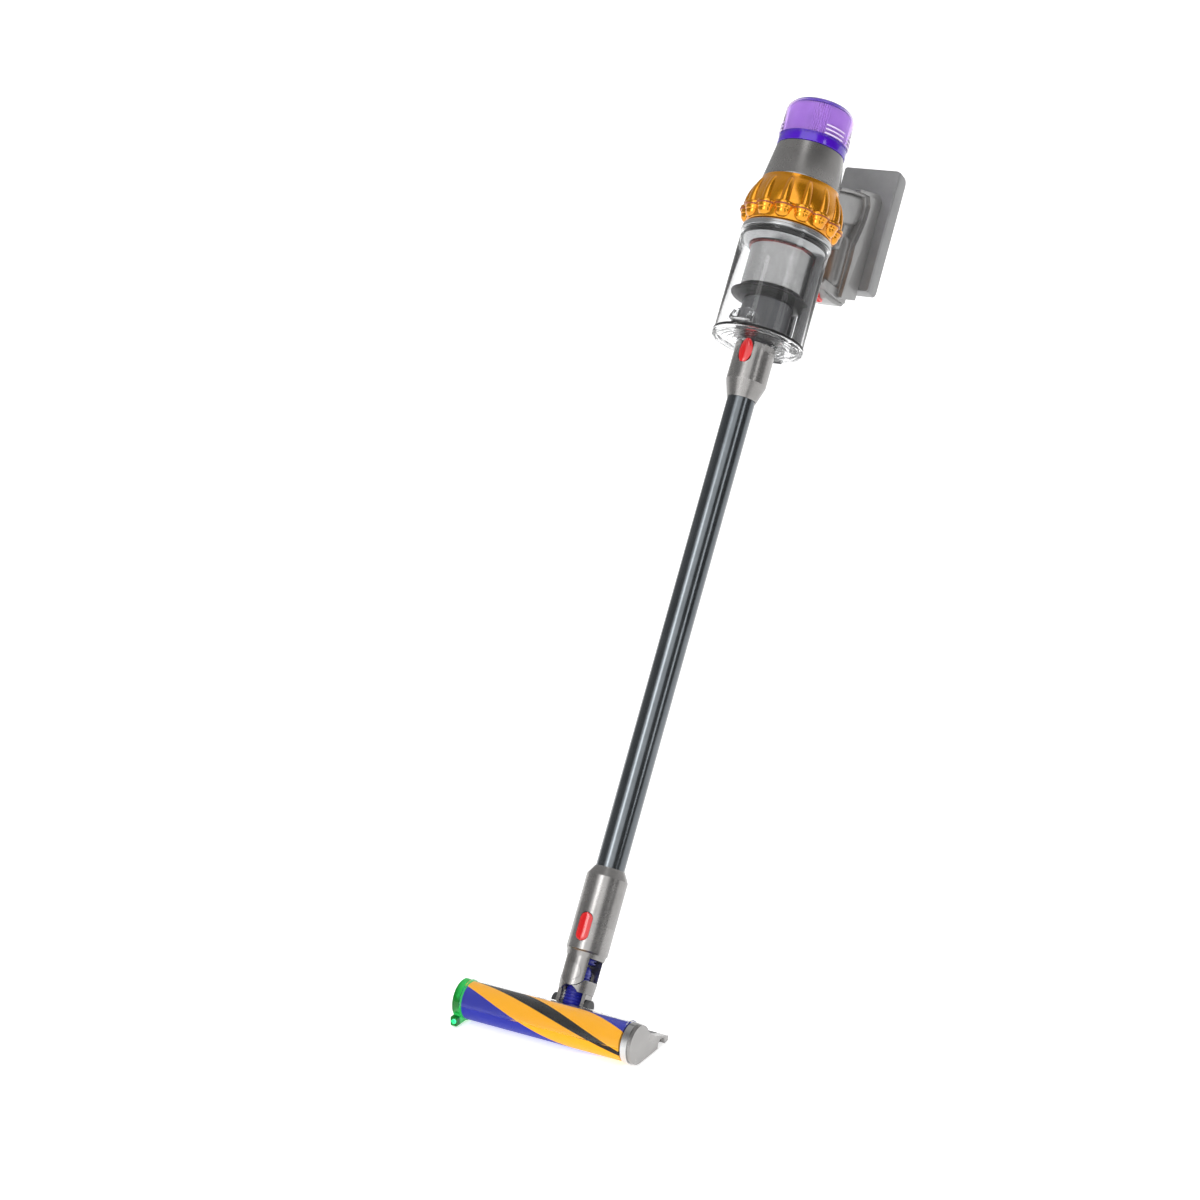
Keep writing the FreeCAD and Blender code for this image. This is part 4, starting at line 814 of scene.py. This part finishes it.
# %% Perforated shroud with its rolled hems
shroud_low, shroud_high = span("shroud_mesh")
shroud_radius = shroud_high.x
shroud_outline = [(shroud_radius - 1.4, shroud_low.z), (shroud_radius + 0.5, shroud_low.z),
                  (shroud_radius + 0.5, shroud_low.z + 1.2), (shroud_radius, shroud_low.z + 1.6),
                  (shroud_radius, shroud_high.z - 1.6), (shroud_radius + 0.5, shroud_high.z - 1.2),
                  (shroud_radius + 0.5, shroud_high.z), (shroud_radius - 1.4, shroud_high.z)]
make_piece(turned(shroud_outline, rounds=((1, 0.3), (2, 0.3), (5, 0.3)), steps=128), "shroud_screen",
           "steel_mesh", "main_unit", ("shroud_mesh",))

# %% Flared rubber skirt
skirt_low, skirt_high = span("shroud_skirt")
tube_radius = span("inner_dust_tube")[1].x
skirt_outline = [(tube_radius + 0.1, skirt_low.z), (tube_radius + 3.0, skirt_low.z),
                 (tube_radius + 9.0, skirt_low.z + 2.6), (tube_radius + 14.5, skirt_low.z + 5.0),
                 (skirt_high.x - 0.4, skirt_low.z + 6.2), (skirt_high.x, skirt_low.z + 7.4),
                 (skirt_high.x - 1.0, skirt_low.z + 8.0), (tube_radius + 14.0, skirt_low.z + 9.0),
                 (tube_radius + 10.6, skirt_low.z + 11.4), (shroud_radius, skirt_high.z),
                 (tube_radius + 0.1, skirt_high.z)]
skirt_rounds = ((2, 3.0), (3, 3.0), (4, 0.4), (5, 0.4), (7, 3.0), (8, 2.0))
make_piece(turned(skirt_outline, rounds=skirt_rounds, steps=128), "shroud_rubber_skirt",
           "black_rubber", "main_unit", ("shroud_skirt",))

# %% [markdown]
# ## The clear bin
# A clear tube with a real 2 mm wall. What makes it read as a moulding is not the tube but its ends:
# a bead at the top, the wider rim of the base at the foot, and the hinge in front with its springs.

# %% Bin wall, hinge ears and bead
BIN_WALL = 2.0
BEAD = 0.6
bin_outline = [(bin_radius - BIN_WALL, bin_low.z), (bin_radius, bin_low.z), (bin_radius, bin_high.z - 4.4),
               (bin_radius + BEAD, bin_high.z - 3.8), (bin_radius + BEAD, bin_high.z),
               (bin_radius - BIN_WALL, bin_high.z)]
wall = turned(bin_outline, rounds=((1, 0.5), (3, 0.3), (4, 0.4), (5, 0.3)), steps=144)
hinge = joint_place("base_open")
ears = []
for side in (-1.0, 1.0):
    ear_view = [(hinge.y - 3.4, hinge.z - 1.8), (hinge.y - 3.4, hinge.z + 3.0),
                (-bin_radius + 0.4, hinge.z + 15.0), (-bin_radius + 0.4, hinge.z - 1.8)]
    near, far = sorted((side * 8.4, side * 14.0))
    ears.append(soften(blank(ear_view, near, far - near, "X", 2.4), 0.5, 2, 60.0))
make_piece(join(wall, *ears), "bin_wall", "clear_plastic", "bin", ("clear_bin",), sharp=45.0)

# %% Base flap: rim, concentric ribs, spokes and hinge knuckle
foot = span("base_flap")[0].z
seat = span("clear_bin")[0].z - 0.6
nozzle_radius = span("inlet_nozzle")[1].x
flap_outline = [(nozzle_radius + 0.1, foot + 1.2), (edge_radius - 1.2, foot + 1.2), (edge_radius, foot + 2.4),
                (edge_radius, seat - 3.0), (edge_radius - 5.4, seat - 3.0), (edge_radius - 5.4, foot + 4.0),
                (nozzle_radius + 0.1, foot + 4.0)]
flap = turned(flap_outline, rounds=((1, 0.5), (2, 0.4), (3, 0.5), (4, 0.4)), steps=144)
for radius in (26.0, 33.0, 40.0, 47.0, 54.0):
    rib_outline = [(radius - 0.8, foot + 0.2), (radius + 0.8, foot + 0.2), (radius + 1.0, foot + 1.6),
                   (radius - 1.0, foot + 1.6)]
    flap = join(flap, turned(rib_outline, rounds=((0, 0.3), (1, 0.3)), steps=96))
spoke = block((nozzle_radius + 1.0, -0.6, foot + 0.3), (edge_radius - 2.0, 0.6, foot + 1.6), 0.3, 2)
KNUCKLE_HALF = 7.7
knuckle = round_bar((-KNUCKLE_HALF, hinge.y, hinge.z), 2.8, 2 * KNUCKLE_HALF)
arm = block((-KNUCKLE_HALF, hinge.y - 2.4, seat - 3.0),
            (KNUCKLE_HALF, -edge_radius + 1.5, hinge.z - 1.6), 0.6, 2)
flap = join(flap, repeat_round(spoke, evenly(18, 10.0)), soften(knuckle, 0.4, 2, 60.0), arm)
make_piece(flap, "base_flap_clear", "clear_plastic", "bin_base", ("base_flap",), sharp=45.0)

# %% Black seal on the flap's rim
gasket_outline = [(edge_radius - 5.0, seat - 2.6), (edge_radius - 0.2, seat - 2.6),
                  (edge_radius - 0.2, seat + 0.4), (edge_radius - 1.5, seat + 0.7),
                  (edge_radius - 5.0, seat + 0.5)]
gasket = turned(gasket_outline, rounds=((1, 0.5), (2, 0.5), (4, 0.3)), steps=144)
make_piece(gasket, "base_gasket", "black_rubber", "bin_base", ("base_seal",))


# %% Two springs at the hinge, the dark ribs behind them and a clear arch
def coil(radius, wire, start, length, turns, centre):
    """A close-wound spring along X: a small circle swept round a helix, closed at both ends."""
    bm = bmesh.new()
    bmesh.ops.create_circle(bm, cap_ends=True, segments=8, radius=wire,
                            matrix=Matrix.Translation((0, radius, 0)) @ Matrix.Rotation(math.pi / 2, 4, "Y"))
    steps = turns * 16
    bmesh.ops.spin(bm, geom=bm.verts[:] + bm.edges[:] + bm.faces[:], cent=(0, 0, 0), axis=(1, 0, 0),
                   dvec=(length / steps, 0, 0), angle=math.tau * turns, steps=int(steps), use_merge=False)
    bmesh.ops.translate(bm, verts=bm.verts, vec=(start, centre.y, centre.z))
    return bm


spring = coil(2.3, 0.45, 8.6, 4.8, 5.0, hinge)
spring = join(spring, coil(2.3, 0.45, -13.4, 4.8, 5.0, hinge))
make_piece(spring, "hinge_springs", "steel_pin", "bin")
catch = block((-17.0, -bin_radius + 8.0, seat + 3.0), (-14.4, -bin_radius + 13.0, seat + 17.0), 0.6, 2)
UPRIGHTS = ((-11.6, -9.4, 19.0), (-7.0, -2.2, 12.0), (1.0, 3.4, 15.0), (7.4, 10.2, 16.0), (13.2, 15.0, 11.0))
for left, right, high in UPRIGHTS:
    upright = block((left, -bin_radius + 7.4, seat + 2.4), (right, -bin_radius + 11.4, seat + high), 0.6, 2)
    catch = join(catch, upright)
catch = join(catch,
             block((-18.0, -bin_radius + 7.8, seat + 1.6), (17.0, -bin_radius + 11.0, seat + 4.6), 0.6, 2),
             block((-12.6, -bin_radius + 8.2, seat + 9.0), (4.0, -bin_radius + 10.0, seat + 11.0), 0.5, 2))
make_piece(catch, "hinge_block_ribs", "grey_plastic", "bin", finish="button_dark")
arch_points = [(23.0 * math.cos(math.radians(turn)), seat + 1.5 + 22.0 * math.sin(math.radians(turn)))
               for turn in range(0, 181, 12)]
arch = soften(blank(arch_points, -bin_radius + 5.2, 2.0, "Y"), 0.5, 2, 60.0)
make_piece(arch, "hinge_arch", "clear_plastic", "bin")

# %% [markdown]
# ## Handle, trunk and battery
# The grip leaves the motor as a rounded elbow and drops into an upright trunk. Behind both stands the
# housing, whose front edge steps down in two levels, and behind that the flat battery. The trunk is
# two rounded blocks; most of the others are blanks cut to their side view. The corners of an outline
# are rounded first and the edges after.

# %% Housing with its stepped front edge
housing_high = span("battery_housing")[1]
housing_half = housing_high.x
housing_back = housing_high.y
side_view = [(118.0, 1146.0), (152.0, 1157.0), (178.0, 1164.5), (housing_back, 1161.0),
             (housing_back, 1015.0),
             (150.0, 1001.0), (146.0, 1001.0), (148.0, 1052.0), (146.5, 1076.0), (154.5, 1100.0),
             (159.0, 1120.0), (159.4, 1140.0), (150.0, 1150.0), (132.0, 1146.0), (118.0, 1142.0)]
housing = soften(blank(side_view, -housing_half, 2 * housing_half, "X", 2.2), 1.6, 3, 30.0)
step_view = [(70.0, 1127.0), (116.0, 1142.6), (143.0, 1151.0), (176.0, 1156.0), (176.0, 1012.0),
             (144.0, 1006.0), (142.6, 1052.0), (142.0, 1078.0), (150.0, 1100.0), (155.0, 1118.0),
             (154.0, 1137.0), (146.0, 1146.6), (116.0, 1138.0), (70.0, 1122.0)]
STEP_INSET = 4.6
step_half = housing_half - STEP_INSET
step = soften(blank(step_view, -step_half, 2 * step_half, "X", 2.0), 1.2, 3, 30.0)
make_piece(join(housing, step), "battery_housing_shell", "nickel_housing", "main_unit", ("battery_housing",),
           sharp=50.0, finish="handle_satin")

# %% Elbow of the grip
grip_half = 18.0
elbow_view = [(40.0, 1078.0), (75.0, 1084.0), (112.0, 1092.6), (137.0, 1099.6), (156.0, 1110.0),
              (165.9, 1126.0), (166.4, 1150.0), (150.0, 1148.6), (124.0, 1141.0), (78.8, 1126.0),
              (40.0, 1111.0)]
elbow = soften(blank(elbow_view, -grip_half, 2 * grip_half, "X", 7.0), 6.5, 6, 40.0)
make_piece(elbow, "grip_elbow", "nickel_housing", "main_unit", ("handle_half_left", "handle_half_right"),
           sharp=60.0, finish="handle_satin")

# %% Trunk: an upright rounded bar on the housing's front
trunk_half = 19.5
trunk = block((-trunk_half, 126.0, 1007.0), (trunk_half, 170.0, 1090.0), 15.0, 8)
inner = block((-grip_half + 4.0, 120.0, 1060.0), (grip_half - 4.0, 160.0, 1112.0), 6.0, 4)
make_piece(join(trunk, inner), "grip_trunk", "nickel_housing", "main_unit", sharp=60.0, finish="handle_satin")

# %% Ledge and sole under the trunk, and the red battery latch
ledge_view = [(97.0, 1001.5), (97.0, 1007.5), (150.0, 1014.0), (176.0, 1014.0), (176.0, 1003.0),
              (140.0, 998.5), (120.0, 997.0)]
ledge = soften(blank(ledge_view, -trunk_half - 1.0, 2 * trunk_half + 2.0, "X", 2.0), 1.4, 3, 30.0)
sole_view = [(112.0, 999.0), (170.0, 1006.0), (182.0, 1006.0), (176.0, 999.0), (150.0, 993.0), (126.0, 990.5)]
sole = soften(blank(sole_view, -trunk_half + 3.5, 2 * trunk_half - 7.0, "X", 2.0), 1.4, 3, 30.0)
make_piece(join(ledge, sole), "grip_ledge", "nickel_housing", "main_unit", sharp=50.0, finish="handle_satin")
latch_low, latch_high = span("battery_release_button")
latch = block(latch_low, (latch_high.x, latch_high.y, latch_high.z - 6.0), 1.6, 3)
for index in range(3):
    spot = latch_low.y + 4.6 + 4.0 * index
    latch = join(latch, block((latch_low.x + 1.0, spot - 0.7, latch_low.z - 0.7),
                              (latch_high.x - 1.0, spot + 0.7, latch_low.z + 1.0), 0.3, 2))
make_piece(latch, "battery_latch", "red_plastic", "battery_release_button", ("battery_release_button",))

# %% Battery: a flat front plate, a rounded body, and a dark seam between them
battery_low, battery_high = span("battery_case")
wide = battery_high.x


def battery_slab(grow, low, high, front, back, corner, soft):
    """An upright slab as wide as the battery, less a margin, between two depths."""
    outline = [(-wide + grow, low), (wide - grow, low), (wide - grow, high), (-wide + grow, high)]
    return soften(blank(outline, front, back - front, "Y", corner), soft, 4, 30.0)


plate = battery_slab(0.0, battery_low.z, battery_high.z, battery_low.y, battery_low.y + 2.6, 3.6, 0.7)
CORNER = 10.0
rounded = []
for end, first in ((battery_high.z, 0.0), (battery_low.z, -90.0)):
    inward = -CORNER if end == battery_high.z else CORNER
    arc = [(battery_high.y - CORNER + CORNER * math.cos(math.radians(first + turn)),
            end + inward + CORNER * math.sin(math.radians(first + turn))) for turn in range(0, 91, 10)]
    rounded = arc + rounded
body_view = rounded + [(battery_low.y + 3.1, battery_high.z), (battery_low.y + 3.1, battery_low.z)]
body = soften(blank(body_view, -wide, 2 * wide, "X"), 1.6, 4, 30.0)
make_piece(join(plate, body), "battery_shell", "battery_grey", "battery", ("battery_case",), sharp=50.0)
seam = battery_slab(0.9, battery_low.z + 0.9, battery_high.z - 0.9, battery_low.y + 2.0, battery_low.y + 4.0,
                    8.4, 0.3)
make_piece(seam, "battery_seam", "battery_grey", "battery", finish="button_dark")

# %% Trigger blade
trigger_low, trigger_high = span("trigger")
finger_view = [(trigger_low.y, trigger_high.z), (trigger_low.y, trigger_low.z + 5.0),
               (trigger_low.y + 4.0, trigger_low.z), (trigger_low.y + 17.0, trigger_low.z + 2.0),
               (trigger_high.y, trigger_low.z + 10.0), (trigger_high.y, trigger_high.z)]
make_piece(soften(blank(finger_view, trigger_low.x, trigger_high.x - trigger_low.x, "X", 1.5), 1.8, 4, 30.0),
           "trigger_blade", "red_plastic", "trigger", ("trigger",), sharp=50.0)

# %% Bin release lever with a ribbed thumb rest
lever_low, lever_high = span("bin_release_lever")
lever = block(lever_low, lever_high, 2.4, 4)
for index in range(5):
    rise = lever_low.z + 5.0 + 4.2 * index
    lever = join(lever, block((lever_low.x + 1.2, lever_high.y - 1.0, rise),
                              (lever_high.x - 1.2, lever_high.y + 0.8, rise + 1.4), 0.4, 2))
make_piece(lever, "bin_lever", "red_plastic", "bin_release_lever", ("bin_release_lever",), sharp=50.0)

# %% [markdown]
# ## Wand, collars and neck
# The wand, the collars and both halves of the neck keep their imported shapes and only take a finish.
# What is made here is the ribbed hose inside the neck and the red buttons. The buttons have a raised
# spine down the middle, so each half catches a different part of the sky.

# %% Radii of the collars
upper_high = span("upper_collar")[1]
lower_high = span("lower_collar")[1]
print("collar radii:", round(upper_high.x, 1), "and", round(lower_high.x, 1), "mm")


# %% Ribbed hose in the neck, one length above the swivel and one below
def ribbed_hose(name, body, node, low, high, core, crest, ball=None):
    """Ribs between two heights; where ball is given, they stay inside a ball about the swivel."""
    outline = [(core - 2.0, low)]
    count = max(2, round((high - low) / 3.6))
    pitch = (high - low) / count
    for index in range(count):
        base = low + pitch * index
        outline += [(core, base + 0.2 * pitch), (crest, base + 0.38 * pitch), (crest, base + 0.62 * pitch),
                    (core, base + 0.8 * pitch)]
    outline.append((core - 2.0, high))
    if ball:
        outline = [(min(radius, math.sqrt(max(4.0, ball ** 2 - max(0.0, height - swivel.z) ** 2))), height)
                   for radius, height in outline]
    rounds = [(2 + 4 * index + step, 0.35) for index in range(count) for step in (0, 1)]
    make_piece(turned(outline, rounds=rounds, steps=64), name, "hose_blue", body, (node,), sharp=60.0)


swivel = joint_place("neck_roll")
hose_low = span("neck_hose_lower")[0].z
hose_middle = span("neck_hose_upper")[0].z
hose_high = span("neck_hose_upper")[1].z
hose_radius = span("neck_hose_upper")[1].x
ribbed_hose("lower_hose_ribs", "neck_lower", "neck_hose_lower", hose_low + 1.0, hose_middle - 0.6,
            hose_radius - 1.0, hose_radius + 1.6, hose_radius)
ribbed_hose("upper_hose_ribs", "neck_upper", "neck_hose_upper", hose_middle, hose_high, hose_radius - 1.0,
            hose_radius + 1.6)

# %% Buttons on the collars
BUTTON_SKIRT = 1.2


def leaf_button(name, node, body, place_radius, blunt=False):
    """A pointed or blunt oval with a spine, bent to the collar, as proud as its node is."""
    low, high = span(node)
    tall = high.z - low.z
    half_wide = high.x
    face = -low.y
    bm = bmesh.new()
    rows, columns = 24, 12
    grid = []
    for row in range(rows + 1):
        along = row / rows
        width = half_wide * math.sin(math.pi * (0.04 + 0.92 * along)) ** 0.55
        if blunt:
            past = max(0.0, abs(2.0 * along - 1.0) * tall / 2 - (tall / 2 - half_wide)) / half_wide
            width = half_wide * math.sqrt(max(0.01, 1.0 - past ** 2))
        line = []
        for column in range(columns + 1):
            across = 2.0 * column / columns - 1.0
            x = width * across
            edge = min(1.0, 4.0 * (1.0 - abs(across)), 9.0 * min(along, 1.0 - along) + 0.15)
            spine = 1.0 - abs(across)
            on_collar = math.sqrt(max(0.0, place_radius ** 2 - x * x))
            depth = on_collar + (face - place_radius) * (0.25 * edge + 0.75 * spine)
            line.append(bm.verts.new((x, -depth, low.z + tall * along)))
        grid.append(line)
    for lower, upper in zip(grid, grid[1:]):
        for left in range(columns):
            bm.faces.new((lower[left], lower[left + 1], upper[left + 1], upper[left]))
    rim = [edge for edge in bm.edges if edge.is_boundary]
    grown = bmesh.ops.extrude_edge_only(bm, edges=rim)
    bmesh.ops.translate(bm, verts=verts_of(grown["geom"]), vec=(0, BUTTON_SKIRT, 0))
    bmesh.ops.edgeloop_fill(bm, edges=[edge for edge in bm.edges if edge.is_boundary])
    make_piece(bm, name, "red_plastic", body, (node,), sharp=22.0)


leaf_button("wand_leaf_button", "wand_release_button", "wand_release_button", upper_high.x)
leaf_button("head_leaf_button", "head_release_button", "head_release_button", lower_high.x, blunt=True)

# %% [markdown]
# ## Floor, light and camera
# A pale floor that glows a little, and three soft lights. Satin metal shows whatever stands round
# it, so the sky has soft bright and dim stretches, like the boxes and cards round a studio table.
# The camera stands where a person would stand to look at the cleaner from its front right.

# %% Floor
bpy.ops.mesh.primitive_plane_add(size=60.0, location=(0.0, 0.0, 0.0))
floor = bpy.context.object
floor.name = "studio_floor"
paint, tree, shader, vector = start_material("studio_white", level=True)
shader.inputs["Base Color"].default_value = (0.95, 0.95, 0.95, 1.0)
shader.inputs["Specular IOR Level"].default_value = 0.15
use_grain(tree, shader, vector, 0.6, 0.05, 40.0, 0.01)
shader.inputs["Emission Color"].default_value = (1.0, 1.0, 1.0, 1.0)
shader.inputs["Emission Strength"].default_value = 0.60
floor.data.materials.append(paint)

# %% Sky: white to the camera and through clear walls, bright and dim stretches in reflections
world = bpy.data.worlds.new("studio")
bpy.context.scene.world = world
world.use_nodes = True
sky = world.node_tree
sky.nodes["Background"].inputs["Strength"].default_value = 1.0
ways = sky.nodes.new("ShaderNodeTexCoord")
parts = sky.nodes.new("ShaderNodeSeparateXYZ")
sky.links.new(ways.outputs["Generated"], parts.inputs["Vector"])
bearing = calculate(sky, "ARCTAN2", parts.outputs["Y"], parts.outputs["X"])
around = calculate(sky, "MULTIPLY_ADD", bearing, 1.0 / math.tau, 0.5)
boxes = sky.nodes.new("ShaderNodeValToRGB")
boxes.color_ramp.interpolation = "LINEAR"
SKY_STOPS = ((0.00, 0.36), (0.10, 0.20), (0.165, 0.20), (0.176, 1.60), (0.370, 1.60), (0.382, 0.14),
             (0.47, 0.06), (0.56, 0.10), (0.64, 0.75), (0.74, 0.95), (0.84, 0.45), (1.00, 0.36))
elements = boxes.color_ramp.elements
while len(elements) < len(SKY_STOPS):
    elements.new(0.5)
for element, (position, level) in zip(elements, SKY_STOPS):
    element.position = position
    element.color = (level, level, level, 1.0)
sky.links.new(around, boxes.inputs["Fac"])
rise = add_node(sky, "ShaderNodeMapRange", interpolation_type="SMOOTHSTEP")
rise.inputs["From Min"].default_value = 0.985
rise.inputs["From Max"].default_value = 1.0
sky.links.new(parts.outputs["Z"], rise.inputs["Value"])
top = add_node(sky, "ShaderNodeMix", data_type="RGBA")
sky.links.new(rise.outputs["Result"], top.inputs[0])
sky.links.new(boxes.outputs["Color"], top.inputs[6])
top.inputs[7].default_value = (1.0, 1.0, 1.0, 1.0)
eye = sky.nodes.new("ShaderNodeLightPath")
plain = add_node(sky, "ShaderNodeMix", data_type="RGBA")
seen = calculate(sky, "MAXIMUM", eye.outputs["Is Camera Ray"], eye.outputs["Is Transmission Ray"])
sky.links.new(seen, plain.inputs[0])
sky.links.new(top.outputs[2], plain.inputs[6])
plain.inputs[7].default_value = (1.0, 1.0, 1.0, 1.0)
sky.links.new(plain.outputs[2], sky.nodes["Background"].inputs["Color"])
print("sky stops:", len(SKY_STOPS))


# %% Lights
def soft_light(name, place, aim, width, height, power):
    data = bpy.data.lights.new(name, "AREA")
    data.shape = "RECTANGLE"
    data.size = width
    data.size_y = height
    data.energy = power
    lamp = bpy.data.objects.new(name, data)
    bpy.context.scene.collection.objects.link(lamp)
    lamp.location = place
    lamp.rotation_euler = (Vector(aim) - Vector(place)).to_track_quat("-Z", "Y").to_euler()
    return lamp


soft_light("key", (-0.2, -2.6, 2.6), (0.0, 0.25, 0.6), 0.7, 1.6, 18.0)
soft_light("fill", (2.6, -0.2, 1.6), (0.0, 0.25, 0.6), 0.4, 1.6, 6.0)
ceiling = soft_light("overhead", (0.0, 0.3, 4.0), (0.0, 0.3, 0.0), 3.0, 3.0, 22.0)
ceiling.visible_glossy = False  # or every level face would mirror it as a white patch

# %% Camera
camera_data = bpy.data.cameras.new("camera")
camera_data.lens = 81.0
camera_data.sensor_width = 36.0
camera = bpy.data.objects.new("camera", camera_data)
bpy.context.scene.collection.objects.link(camera)
AZIMUTH = math.radians(30.37)
ELEVATION = math.radians(17.62)
look_back = Vector((math.sin(AZIMUTH) * math.cos(ELEVATION), -math.cos(AZIMUTH) * math.cos(ELEVATION),
                    math.sin(ELEVATION)))
camera.location = (1.550, -2.578, 1.503)
camera.rotation_euler = (-look_back).to_track_quat("-Z", "Y").to_euler()
bpy.context.scene.camera = camera
bpy.context.scene.view_settings.view_transform = "Standard"
print("camera stands", round((camera.location - pitch_pivot).length, 2), "m from the pivot")
